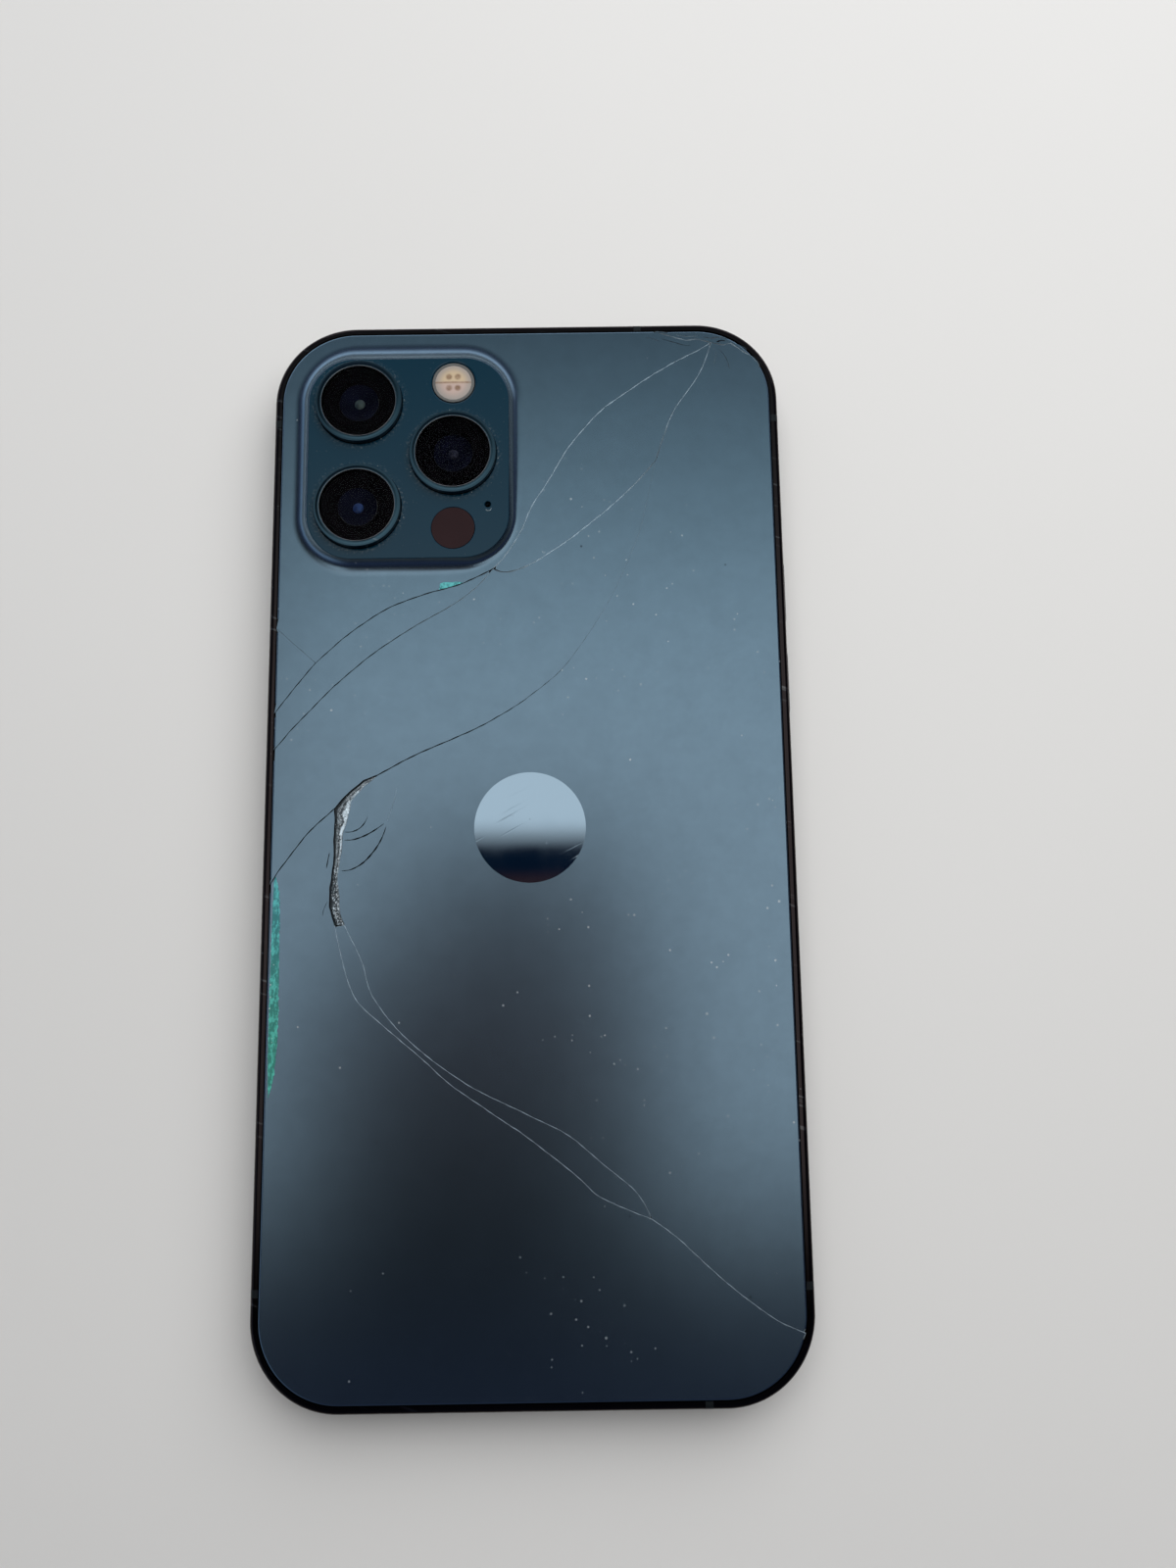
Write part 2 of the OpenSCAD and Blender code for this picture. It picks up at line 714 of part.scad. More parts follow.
card_w = 8.8;
card_l = 12.3;
card_t = 0.67;
carrier_l = 14.4;
carrier_x = 10.8;           // reach of the carrier in from the door
carrier_t = 1.3;
carrier_z = z_mid - carrier_t / 2;
door_t = 1.2;
door_x = body_w / 2 - door_t;
pocket_gap = 0.1;
pocket_floor = 0.35;
pocket_x = door_x - 0.9 - card_w - pocket_gap;
eject_r = 0.5;
eject_in = 1.3;             // from the door's end to the eject hole
lip = 1;                    // under the card's edge
reader_wall = 0.3;
reader_gap = 0.25;

module card_tray() {
  color("#22313d") translate([0, tray_y, 0]) difference() {
    union() {
      side_slot(door_l, door_h, door_x, body_w / 2);
      block([door_x - carrier_x, -carrier_l / 2, carrier_z],
            [door_x + overlap, carrier_l / 2, carrier_z + carrier_t]);
    }
    block([pocket_x, -card_l / 2 - pocket_gap, carrier_z + pocket_floor],
          [pocket_x + card_w + 2 * pocket_gap, card_l / 2 + pocket_gap, carrier_z + carrier_t + 1]);
    block([pocket_x + lip, -card_l / 2 + lip, carrier_z - 1],
          [pocket_x + card_w - lip, card_l / 2 - lip, carrier_z + 1]);
    translate([door_x - 1, -door_l / 2 + eject_in, z_mid])
      rotate([0, 90, 0]) cylinder(h = door_t + 2, r = eject_r);
  }
}

// The corner that is cut off a card, and its contact pads in one plane
module sim_card() {
  cut = 1.7;
  color("#e8e6de") translate([pocket_x + pocket_gap, tray_y - card_l / 2, carrier_z + pocket_floor])
    linear_extrude(card_t) polygon([[0, 0], [card_w, 0], [card_w, card_l], [cut, card_l], [0, card_l - cut]]);
}

reader_x = door_x - carrier_x - 1.2;
module card_reader() {
  half = carrier_l / 2 + reader_gap;
  z0 = carrier_z - reader_gap;
  z1 = carrier_z + carrier_t + reader_gap;
  color("#a7abb0") translate([0, tray_y, 0]) difference() {
    block([reader_x, -half - reader_wall, z0 - reader_wall],
          [in_x - 0.15, half + reader_wall, z1 + reader_wall]);
    block([reader_x + reader_wall, -half, z0], [in_x + 1, half, z1]);
  }
}

// ---- Bottom end ----

port_wall = 0.9;
lead_in = 0.3;              // the socket is this much narrower than its mouth, on each side
contacts = 8;
contact_pitch = 0.8;
contact_w = 0.4;
module charging_port() {
  y0 = -in_y + 0.1;
  y1 = -body_l / 2 + port_depth;
  body_h = 2 * (z_mid - z_front_ledge - front_ledge_t - fit);
  color("#2d3034") difference() {
    translate([0, y0, z_mid]) rotate([-90, 0, 0]) linear_extrude(y1 - y0 + 1)
      square([port_w + 2 * port_wall, body_h], center = true);
    translate([0, y0 - 1, z_mid]) rotate([-90, 0, 0])
      linear_extrude(y1 - y0 + 1) slot(port_w - 2 * lead_in, port_h - lead_in);
    for (i = [0 : contacts - 1]) translate([(i - (contacts - 1) / 2) * contact_pitch, 0, 0])
      block([-contact_w / 2, y0 + 2, z_mid - port_h / 2], [contact_w / 2, y1, z_mid]);
  }
}

module bottom_screws() {
  y0 = -body_l / 2;
  lug_end = -in_y + lug_l - 0.3;
  color("#3c4650") for (s = [-1, 1]) translate([s * bottom_screw_x, 0, 0]) difference() {
    union() {
      along_y(0, z_mid, y0 + 0.05, y0 + screw_head_t, screw_head_r);
      along_y(0, z_mid, y0 + screw_head_t - 0.1, lug_end, screw_r);
    }
    for (i = [0 : 4]) translate([0, y0 - 1, z_mid]) rotate([-90, 0, 0]) rotate(i * 72)
      translate([0.28, 0, 0]) cylinder(h = 1.35, r = 0.17);
  }
}

bay_l = 19;                 // room for the loudspeaker, the motor and the socket
bay_x = bottom_screw_x + lug_w / 2 + 0.5;
switch_room = 2.9;          // beside the buttons, the same on both sides
core_x = in_x - switch_room;
inner_gap = 1;              // between the big inner pieces

// Keeps a piece clear of the band's ledges and round corners
module inside_walls(z0, z1) {
  layer(z0, z1) intersection() {
    outline(wall_t + ledge_w + 0.2);
    children();
  }
}

module rect(x0, y0, x1, y1) {
  translate([x0, y0]) square([x1 - x0, y1 - y0]);
}

module loudspeaker() {
  color("#1e2023") difference() {
    inside_walls(z_floor, z_plate - 0.3) rect(-in_x, -in_y, -bay_x, -in_y + bay_l);
    small_screw_holes();
    layer(z_floor - 1, z_floor + 0.5) translate([-bay_x - 10, -in_y + 12]) rounded(13, 8, 3);
  }
}

module haptic_motor() {
  color("#8f9499") difference() {
    inside_walls(z_floor, z_plate - 0.6) rect(bay_x, -in_y + ledge_w, in_x, -in_y + ledge_w + 10.5);
    small_screw_holes();
  }
}

battery_top = plateau_y - plateau_l / 2 - 2.5;
battery_bottom = -in_y + bay_l + inner_gap;
board_w = 20;
board_x = core_x - board_w;
reader_bottom = tray_y - carrier_l / 2 - reader_gap - reader_wall;
reader_top = tray_y + carrier_l / 2 + reader_gap + reader_wall;
z_battery = z_floor + 0.2;
z_battery_top = z_ledge - coil_t - 0.45;

// An L-shaped cell: tall beside the board, wide under the card reader
module battery() {
  color("#26282b") layer(z_battery, z_battery_top) {
    rect(-core_x, battery_bottom, board_x - inner_gap, battery_top);
    rect(board_x - inner_gap - 1, battery_bottom, core_x, reader_bottom - inner_gap);
  }
}

strip_w = 9;
strip_l = 14;
strip_in = 2;
module battery_adhesive() {
  color("#e9e9ea") layer(z_battery_top, z_plate - 0.05)
    for (x = [-core_x + strip_in, board_x - inner_gap - strip_in - strip_w])
      for (y = [battery_bottom + strip_in, battery_top - strip_in - strip_l])
        rect(x, y, x + strip_w, y + strip_l);
}

board_t = 0.8;
z_board = z_floor + 0.7;
board_gap = 0.9;
board_bottom = reader_top + inner_gap;
board_top = body_l / 2 - 17;
z_board_top = z_board + 2 * board_t + board_gap;
bump_wall = 1.5;
chips = 3;
chip_in = 4.5;
chip_w = 10;
chip_l = 9;
chip_t = 0.6;

module board_plan(inset) {
  rect(board_x + inset, board_bottom + inset, core_x - inset, board_top - inset);
}

// Two boards with a wall of solder bumps between them, and chips on the lower one
module logic_board() {
  color("#1f5d4c") difference() {
    union() {
      for (z = [z_board, z_board + board_t + board_gap]) layer(z, z + board_t) board_plan(0);
      layer(z_board, z_board_top) difference() {
        board_plan(0);
        board_plan(bump_wall);
      }
      for (i = [0 : chips - 1])
        translate([board_x + chip_in, board_bottom + chip_in + i * (chip_l + chip_in), z_board - chip_t])
          cube([chip_w, chip_l, chip_t + overlap]);
    }
    small_screw_holes();
  }
}

can_t = 0.2;
module board_shield() {
  inset = 2 * boss_in + can_t;
  top = z_plate - 0.15;
  color("#b5b8bb") difference() {
    layer(z_board_top, top) board_plan(inset);
    layer(z_board_top - 1, top - can_t) board_plan(inset + can_t);
  }
}

// Place in plan, level of the boss's foot, and level under the head, for each small screw
boss_in = screw_boss_r + 0.1;
left_screw_x = board_x + boss_in;
left_screw_y = sqrt((magnet_r + magnet_room + 2 * boss_in) ^ 2 - left_screw_x ^ 2);
board_screws = [
  [left_screw_x, left_screw_y], [left_screw_x, board_top - boss_in],
  [core_x - boss_in, board_bottom + boss_in], [core_x - boss_in, board_top - boss_in]
];
screw_places = concat(
  [for (p = board_screws) [p[0], p[1], z_board_top, z_board]],
  [for (y = [-in_y + 6, -in_y + bay_l - 3]) [-bay_x - 2.4, y, z_plate - 0.3, z_floor + 1]],
  [for (x = [bay_x + 2.4, core_x - 4.5]) [x, -in_y + ledge_w + 5.2, z_plate - 0.6, z_floor + 1]]
);

module small_screw_holes() {
  for (s = screw_places) translate([s[0], s[1], 0]) {
    cylinder(h = body_t, r = small_screw_r + 0.1);
    cylinder(h = s[3] + 0.01, r = small_head_r + 0.1);
  }
}

module inner_screws() {
  color("#c9cbce") for (s = screw_places) translate([s[0], s[1], 0]) {
    translate([0, 0, s[3] - small_head_t]) cylinder(h = small_head_t, r = small_head_r);
    translate([0, 0, s[3] - 0.1]) cylinder(h = z_plate - 0.1 - s[3], r = small_screw_r - 0.03);
  }
}

// ---- Top end, behind the screen ----

ear_w = 12;
ear_l = 6;
ear_t = 1.8;
ear_y = in_y - ledge_w - 0.4 - ear_l;
module earpiece_speaker() {
  color("#33363a") layer(z_floor, z_floor + ear_t) rect(-ear_w / 2, ear_y, ear_w / 2, ear_y + ear_l);
}

// Camera and projector on one bent bracket, that passes behind the earpiece
module front_sensors() {
  z0 = z_floor + ear_t + 0.2;
  unit_w = 8;
  unit_in = 0.4;
  near = ear_w / 2 + unit_in;
  reach = near + unit_w;
  color("#4a4d52") {
    inside_walls(z0, z0 + bracket_t) rect(-reach, ear_y, reach, ear_y + ear_l);
    for (x = [-reach, near]) inside_walls(z_floor, z0 + bracket_t / 2)
      rect(x, ear_y + unit_in, x + unit_w, ear_y + ear_l - unit_in);
    for (x = [-1, 1]) layer(z0, z_flash - fit)
      translate([x * (near + unit_w / 2), ear_y + ear_l / 2]) circle(unit_w / 4);
  }
}

// ---- Display ----

frame_w = 2.2;
module display_frame() {
  color("#141517") difference() {
    union() {
      layer(z_panel, z_shield) difference() {
        outline(front_glass_in + 0.1);
        outline(front_glass_in + 0.1 + frame_w);
      }
      for (s = [-1, 1]) block([s * bottom_screw_x - lug_w / 2, -in_y + 0.1, z_shield],
                              [s * bottom_screw_x + lug_w / 2, -in_y + lug_l, z_mid + 1.4]);
    }
    for (s = [-1, 1]) along_y(s * bottom_screw_x, z_mid, -in_y - 1, 0, screw_r + 0.02);
  }
}

module display_panel() {
  color("#050607") layer(z_panel, z_shield) outline(front_glass_in + 0.2 + frame_w);
}

module display_shield() {
  color("#77797c") layer(z_shield, z_shield + shield_t) difference() {
    outline(wall_t + front_ledge_w + 0.3);
    for (s = [-1, 1]) translate([s * bottom_screw_x, -in_y + lug_l / 2])
      square([lug_w + 2 * lug_room, lug_l + 6 * lug_room], center = true);
  }
}

ear_slot_l = 11;
ear_slot_h = 0.9;
module front_glass() {
  color("#08090b") layer(0, front_glass_t) difference() {
    outline(front_glass_in);
    translate([0, body_l / 2 - 2.2]) slot(ear_slot_l, ear_slot_h);
  }
}

band_left_rail();
band_right_rail();
band_top_left();
band_top_right();
band_bottom_left();
band_bottom_right();
antenna_breaks();
rear_glass_camera_shard();
rear_glass_edge_sliver();
rear_glass_upper_sliver();
rear_glass_left_wedge();
rear_glass_middle_shard();
rear_glass_right_shard();
rear_glass_lower_shard();
rear_glass_thin_sliver();
rear_glass_corner_chip();
rear_glass_crushed_strip();
colour_film();
mid_plate();
charging_coil();
magnet_ring();
lens_ring(0);  // lens_ring_top
lens_ring(1);  // lens_ring_side
lens_ring(2);  // lens_ring_bottom
lens_cover(0);  // lens_cover_top
lens_cover(1);  // lens_cover_side
lens_cover(2);  // lens_cover_bottom
camera(0);  // camera_top
camera(1);  // camera_side
camera(2);  // camera_bottom
camera_bracket();
flash_window();
flash_module();
depth_sensor_window();
depth_sensor();
rear_microphone();
power_button();
volume_up_button();
volume_down_button();
mute_switch();
power_switch_flex();
volume_switch_flex();
card_tray();
sim_card();
card_reader();
charging_port();
bottom_screws();
loudspeaker();
haptic_motor();
battery();
battery_adhesive();
logic_board();
board_shield();
inner_screws();
earpiece_speaker();
front_sensors();
display_frame();
display_panel();
display_shield();
front_glass();
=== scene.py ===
import json
import bmesh
import bpy
import numpy as np
from mathutils import Matrix, Vector
from mathutils.geometry import delaunay_2d_cdt


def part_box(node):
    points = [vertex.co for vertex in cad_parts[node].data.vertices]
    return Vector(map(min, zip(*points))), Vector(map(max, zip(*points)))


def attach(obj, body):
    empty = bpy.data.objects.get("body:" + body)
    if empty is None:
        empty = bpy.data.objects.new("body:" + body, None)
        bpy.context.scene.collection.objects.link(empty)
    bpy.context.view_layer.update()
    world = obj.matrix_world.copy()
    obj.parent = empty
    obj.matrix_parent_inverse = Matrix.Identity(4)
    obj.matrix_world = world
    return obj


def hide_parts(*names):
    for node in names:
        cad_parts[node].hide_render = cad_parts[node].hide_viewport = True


# A flat-sided phone with a cracked rear glass, lying on its screen. Lengths are in millimetres
# until a mesh is written, which is in metres. +X right, +Y towards the cameras, +Z up.
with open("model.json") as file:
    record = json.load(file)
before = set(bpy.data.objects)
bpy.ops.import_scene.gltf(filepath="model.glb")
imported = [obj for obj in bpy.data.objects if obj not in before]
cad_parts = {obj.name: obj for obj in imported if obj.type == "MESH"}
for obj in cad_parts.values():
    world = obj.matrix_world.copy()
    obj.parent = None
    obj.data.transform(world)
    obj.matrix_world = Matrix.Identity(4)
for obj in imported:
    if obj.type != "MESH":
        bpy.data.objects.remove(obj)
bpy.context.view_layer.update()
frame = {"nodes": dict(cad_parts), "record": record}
nodes = frame["nodes"]
print("frame loaded:", len(nodes), "nodes")
mm = 0.001


def boxOf(*names):
    # lowest and highest corner, in mm, over the named nodes
    corners = np.array([[list(c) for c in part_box(name)] for name in names]) / mm
    return corners[:, 0].min(0), corners[:, 1].max(0)


glassNames = [name for name in nodes if name.startswith("rear_glass")]
glassLow, glassHigh = boxOf(*[name for name in glassNames if "camera" not in name])
plateauHigh = boxOf("rear_glass_camera_shard")[1]
ringNames = ["lens_ring_top", "lens_ring_side", "lens_ring_bottom"]
ringLow, ringHigh = boxOf(*ringNames)


def middleOf(name):
    low, high = boxOf(name)
    return (low[:2] + high[:2]) / 2


lensPlaces = [middleOf(name) for name in ringNames]
flashPlace = middleOf("flash_window")
sensorPlace = middleOf("depth_sensor_window")
microphonePlace = middleOf("rear_microphone")

pane = {
    "halfWidth": glassHigh[0],          # the broken pane reaches the same distance to each side
    "halfLength": glassHigh[1],
    "corner": 10.34,                    # radius of the pane's corners
    "under": glassLow[2],
    "top": glassHigh[2],
    "rimRounding": 0.26,                # rounding of the pane's outer edge
    "crackGap": 0.035,                  # width of a crack, between its two rounded edges
    "step": 0.3,                        # spacing of points along a crack
}


def smoothLine(points, steps=10):
    # Catmull-Rom: each span is the cubic through its two points whose slopes are half the
    # difference between the neighbours on either side
    p = np.asarray(points, float)
    before, after = np.vstack([p[:1], p[:-1]]), np.vstack([p[1:], p[-1:]])
    beyond = np.vstack([p[2:], p[-1:], p[-1:]])
    t = (np.arange(steps) / steps)[None, :, None]
    a, b, c, d = (q[:-1, None, :] for q in (before, p, after, beyond))
    line = 0.5 * (2 * b + (c - a) * t + (2 * a - 5 * b + 4 * c - d) * t ** 2
                  + (3 * b - a - 3 * c + d) * t ** 3)
    return np.vstack([line.reshape(-1, 2), p[-1:]])


def spread(line, shares):
    # points at the given shares of a line's length
    along = np.r_[0, np.cumsum(np.linalg.norm(np.diff(line, axis=0), axis=1))]
    return np.stack([np.interp(shares * along[-1], along, line[:, k]) for k in (0, 1)], 1)


def evenly(line, step):
    # points at equal distances along a line
    length = np.linalg.norm(np.diff(line, axis=0), axis=1).sum()
    return spread(line, np.linspace(0, 1, max(2, int(round(length / step)) + 1)))


def sideways(line, closed=False):
    # unit normals to the left of the direction of travel
    if closed:
        ahead = np.roll(line, -1, 0) - line
        ahead /= np.linalg.norm(ahead, axis=1)[:, None] + 1e-12
        run = ahead + np.roll(ahead, 1, 0)
    else:
        run = np.gradient(line, axis=0)
    run /= np.linalg.norm(run, axis=1)[:, None] + 1e-12
    return np.stack([-run[:, 1], run[:, 0]], 1)


def roundedLoop(halfX, halfY, radius, corner=24, side=1.0):
    # a rounded rectangle, anticlockwise: four quarter circles, and points every side mm between them
    turn = np.linspace(0, np.pi / 2, corner + 1)
    arcs = []
    for k, (sx, sy) in enumerate([(1, 1), (-1, 1), (-1, -1), (1, -1)]):
        a = turn + k * np.pi / 2
        arcs.append(np.stack([sx * (halfX - radius) + radius * np.cos(a),
                              sy * (halfY - radius) + radius * np.sin(a)], 1))
    pieces = []
    for k in range(4):
        pieces.append(arcs[k])
        pieces.append(evenly(np.stack([arcs[k][-1], arcs[(k + 1) % 4][0]]), side)[1:-1])
    return np.vstack(pieces)


def circleLoop(centre, radius, count=96):
    a = np.linspace(0, 2 * np.pi, count, endpoint=False)
    return np.asarray(centre) + radius * np.stack([np.cos(a), np.sin(a)], 1)


def insideLoops(points, loops):
    # even-odd rule: a point is inside if a ray to +X from it crosses the loops an odd number of times
    odd = np.zeros(len(points), bool)
    for loop in loops:
        a, b = loop, np.roll(loop, -1, 0)
        y = points[:, 1, None]
        crosses = (a[None, :, 1] > y) != (b[None, :, 1] > y)
        slope = (b[:, 0] - a[:, 0]) / np.where(b[:, 1] == a[:, 1], 1, b[:, 1] - a[:, 1])
        x = a[None, :, 0] + (y - a[None, :, 1]) * slope[None]
        odd ^= (crosses & (points[:, 0, None] < x)).sum(1) % 2 == 1
    return odd


def areaOf(loop):
    following = np.roll(loop, -1, 0)
    return 0.5 * np.sum(loop[:, 0] * following[:, 1] - following[:, 0] * loop[:, 1])


def fillPlan(loops, marks=()):
    # triangles between an outer loop and its holes, which also keep to the marks: lines inside it
    points, edges = [], []
    for line, closed in [(loop, True) for loop in loops] + [(mark, False) for mark in marks]:
        first = len(points)
        points += [Vector(p) for p in line]
        edges += [(first + i, first + i + 1) for i in range(len(line) - 1)]
        if closed:
            edges.append((first + len(line) - 1, first))
    found, _, faces, *_ = delaunay_2d_cdt(points, edges, [], 0, 1e-7)
    flat = np.array([list(p) for p in found])
    triangles = np.array([list(f) for f in faces])
    return flat, triangles[insideLoops(flat[triangles].mean(1), loops)]


def inScene(name, data):
    item = bpy.data.objects.new(name, data)
    bpy.context.scene.collection.objects.link(item)
    return item


class Shell:
    # collects the surfaces of one piece: points in mm, faces, a material number and a tone for each
    def __init__(self):
        self.points, self.tones, self.faces, self.kinds = [], [], [], []
        self.count = 0

    def add(self, points, faces, kind=0, tone=0.0):
        points = np.asarray(points, float)
        self.points.append(points)
        self.tones.append(np.broadcast_to(np.asarray(tone, float), len(points)))
        self.faces += (np.asarray(faces) + self.count).tolist()
        self.kinds += np.broadcast_to(np.asarray(kind), len(faces)).tolist()
        self.count += len(points)

    def flat(self, loops, z, up=True, kind=0, marks=(), kindAt=None):
        # a level face between loops; kindAt gives the material number from the faces' middles
        plan, triangles = fillPlan(loops, marks)
        kinds = kindAt(plan[triangles].mean(1)) if kindAt else kind
        turned = triangles if up else triangles[:, ::-1]
        self.add(np.column_stack([plan, np.full(len(plan), z)]), turned, kinds)

    def wall(self, rows, kind=0, tone=0.0, closed=True):
        # a grid of faces between rows of points of equal number; each row is above the one before
        # it on an anticlockwise loop, so that the faces point outwards
        rows = np.asarray(rows, float)
        count = rows.shape[1]
        columns = np.arange(count if closed else count - 1)
        lower = np.arange(len(rows) - 1)[:, None] * count
        following = (columns + 1) % count
        faces = np.stack([lower + columns, lower + following,
                          lower + count + following, lower + count + columns], -1).reshape(-1, 4)
        kinds = np.tile(np.broadcast_to(kind, len(columns)), len(rows) - 1)
        tones = np.broadcast_to(tone, rows.shape[:2]).ravel()
        self.add(rows.reshape(-1, 3), faces, kinds, tones)

    def lathe(self, centre, profile, segments=128, kind=0):
        # a profile of (radius, height) turned about an upright axis, outwards where it is drawn upwards
        a = np.linspace(0, 2 * np.pi, segments, endpoint=False)
        rows = [np.column_stack([centre[0] + r * np.cos(a), centre[1] + r * np.sin(a),
                                 np.full(segments, z)]) for r, z in profile]
        self.wall(rows, kind)

    def piece(self, name, materials, slot, stands=(), body="phone", sharp=35, weld=0.0004):
        # writes the mesh in metres, joins points that meet, and lets edges under `sharp` degrees
        # shade smoothly, except those of level faces
        mesh = bpy.data.meshes.new(name)
        mesh.from_pydata(np.vstack(self.points) * mm, [], self.faces)
        tone = mesh.attributes.new("tone", "FLOAT", "POINT")
        tone.data.foreach_set("value", np.concatenate(self.tones).astype(np.float32))
        for material in materials:
            mesh.materials.append(material)
        mesh.polygons.foreach_set("material_index", np.array(self.kinds, np.int32))
        work = bmesh.new()
        work.from_mesh(mesh)
        bmesh.ops.remove_doubles(work, verts=work.verts, dist=weld * mm)
        bmesh.ops.dissolve_degenerate(work, edges=work.edges, dist=weld * mm * 0.1)
        work.to_mesh(mesh)
        work.free()
        mesh.set_sharp_from_angle(angle=np.radians(sharp))
        facing = np.empty(len(mesh.polygons) * 3, np.float32)
        mesh.polygons.foreach_get("normal", facing)
        mesh.polygons.foreach_set("use_smooth", np.abs(facing[2::3]) < 0.9999)
        item = inScene(name, mesh)
        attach(item, body)
        if stands:
            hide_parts(*stands)
        return item


def place(tree, kind, **settings):
    node = tree.nodes.new("ShaderNode" + kind)
    for key, value in settings.items():
        setattr(node, key, value)
    return node


def feed(tree, socket, value):
    # a socket takes a link from another socket, or a plain value; colours come without opacity
    if isinstance(value, bpy.types.NodeSocket):
        tree.links.new(value, socket)
    else:
        socket.default_value = (*value, 1) if socket.type == "RGBA" else value


def feedAll(tree, sockets, values):
    for socket, value in zip(sockets, values):
        feed(tree, socket, value)


def maths(tree, operation, *values, clamp=False):
    # one step of arithmetic on up to three values
    node = place(tree, "Math", operation=operation, use_clamp=clamp)
    feedAll(tree, node.inputs, values)
    return node.outputs[0]


def times(tree, first, second, clamp=False):
    return maths(tree, "MULTIPLY", first, second, clamp=clamp)


def plus(tree, first, second, clamp=False):
    return maths(tree, "ADD", first, second, clamp=clamp)


def minus(tree, first, second):
    return maths(tree, "SUBTRACT", first, second)


def larger(tree, first, second):
    return maths(tree, "MAXIMUM", first, second)


def scaled(tree, value, factor, shift):
    # value times factor, plus shift
    return maths(tree, "MULTIPLY_ADD", value, factor, shift)


def fromCentre(tree, x, y):
    # the distance from where x and y are both zero
    return maths(tree, "SQRT", plus(tree, times(tree, x, x), times(tree, y, y)))


def axesOf(tree, vector):
    # the x, y and z of a vector
    node = place(tree, "SeparateXYZ")
    feed(tree, node.inputs[0], vector)
    return node.outputs


def between(tree, value, low, high, start=0.0, end=1.0, rise="SMOOTHSTEP"):
    # start below low, end above high, and a rise between them
    node = place(tree, "MapRange", interpolation_type=rise)
    feedAll(tree, node.inputs, (value, low, high, start, end))
    return node.outputs[0]


def blendColour(tree, factor, first, second):
    node = place(tree, "Mix", data_type="RGBA")
    feed(tree, node.inputs[0], factor)
    feed(tree, node.inputs[6], first)
    feed(tree, node.inputs[7], second)
    return node.outputs[2]


def noise(tree, vector, scale, detail=2.0, roughness=0.5):
    node = place(tree, "TexNoise")
    feed(tree, node.inputs["Vector"], vector)
    feed(tree, node.inputs["Scale"], scale)
    node.inputs["Detail"].default_value = detail
    node.inputs["Roughness"].default_value = roughness
    return node.outputs[0]


def stretch(tree, vector, scale=(1, 1, 1), turn=(0, 0, 0), shift=(0, 0, 0)):
    node = place(tree, "Mapping")
    feed(tree, node.inputs["Vector"], vector)
    node.inputs["Scale"].default_value = scale
    node.inputs["Rotation"].default_value = turn
    node.inputs["Location"].default_value = shift
    return node.outputs[0]


def cellsOf(tree, vector, scale):
    # cells of random shape: how far each point is from its cell's middle, and two random values
    # for each cell
    node = place(tree, "TexVoronoi")
    feed(tree, node.inputs["Vector"], vector)
    feed(tree, node.inputs["Scale"], scale)
    parts = place(tree, "SeparateColor")
    feed(tree, parts.inputs[0], node.outputs["Color"])
    return node.outputs["Distance"], parts.outputs[0], parts.outputs[1]


def newGroup(name, inputs, outputs):
    # a shader node group; inputs are name: (socket type, default), outputs are name: socket type
    tree = bpy.data.node_groups.new(name, "ShaderNodeTree")
    for key, (kind, value) in inputs.items():
        socket = tree.interface.new_socket(key, in_out="INPUT", socket_type="NodeSocket" + kind)
        if value is not None:
            socket.default_value = value
    for key, kind in outputs.items():
        tree.interface.new_socket(key, in_out="OUTPUT", socket_type="NodeSocket" + kind)
    return tree, tree.nodes.new("NodeGroupInput").outputs, tree.nodes.new("NodeGroupOutput").inputs


def useGroup(tree, group, **values):
    node = place(tree, "Group", node_tree=group)
    for key, value in values.items():
        feed(tree, node.inputs[key], value)
    return node.outputs


def makeDustGroup():
    # sparse round specks: near the middle of a random few of the cells, with a random size each
    tree, given, out = newGroup("dustSpecks", {"Vector": ("Vector", None), "Scale": ("Float", 500.0),
                                               "Share": ("Float", 0.1), "Size": ("Float", 0.1)},
                                {"Mask": "Float"})
    distance, first, second = cellsOf(tree, given["Vector"], given["Scale"])
    chosen = maths(tree, "LESS_THAN", first, given["Share"])
    size = times(tree, given["Size"], scaled(tree, second, 0.8, 0.3))
    near = between(tree, minus(tree, size, distance), 0.0, 0.02)
    feed(tree, out["Mask"], times(tree, chosen, near))
    return tree


def makeSmudgeGroup():
    # broad patches of a value between Low and High, with finer streaks across them
    tree, given, out = newGroup("smudges", {"Vector": ("Vector", None), "Scale": ("Float", 30.0),
                                            "Low": ("Float", 0.2), "High": ("Float", 0.3)},
                                {"Value": "Float"})
    broad = noise(tree, given["Vector"], given["Scale"], 3.0, 0.6)
    streaks = noise(tree, stretch(tree, given["Vector"], (1, 0.25, 1), (0, 0, 0.6)),
                    times(tree, given["Scale"], 6.0), 2.0)
    mixed = plus(tree, times(tree, broad, 0.75), times(tree, streaks, 0.25))
    feed(tree, out["Value"], between(tree, mixed, 0.35, 0.65, given["Low"], given["High"], "LINEAR"))
    return tree


def makeScratchGroup():
    # fine straight lines along one direction: noise drawn out along X, thinned to its peaks
    tree, given, out = newGroup("fineScratches", {"Vector": ("Vector", None), "Scale": ("Float", 900.0),
                                                  "Turn": ("Float", 0.0)},
                                {"Mask": "Float"})
    turned = place(tree, "VectorRotate", rotation_type="Z_AXIS")
    feed(tree, turned.inputs["Vector"], given["Vector"])
    feed(tree, turned.inputs["Angle"], given["Turn"])
    lines = noise(tree, stretch(tree, turned.outputs[0], (0.03, 1, 1)), given["Scale"], 2.0)
    patches = noise(tree, given["Vector"], 120.0, 1.0)
    feed(tree, out["Mask"], times(tree, between(tree, lines, 0.62, 0.72),
                                  between(tree, patches, 0.45, 0.6)))
    return tree


dustGroup, smudgeGroup, scratchGroup = makeDustGroup(), makeSmudgeGroup(), makeScratchGroup()


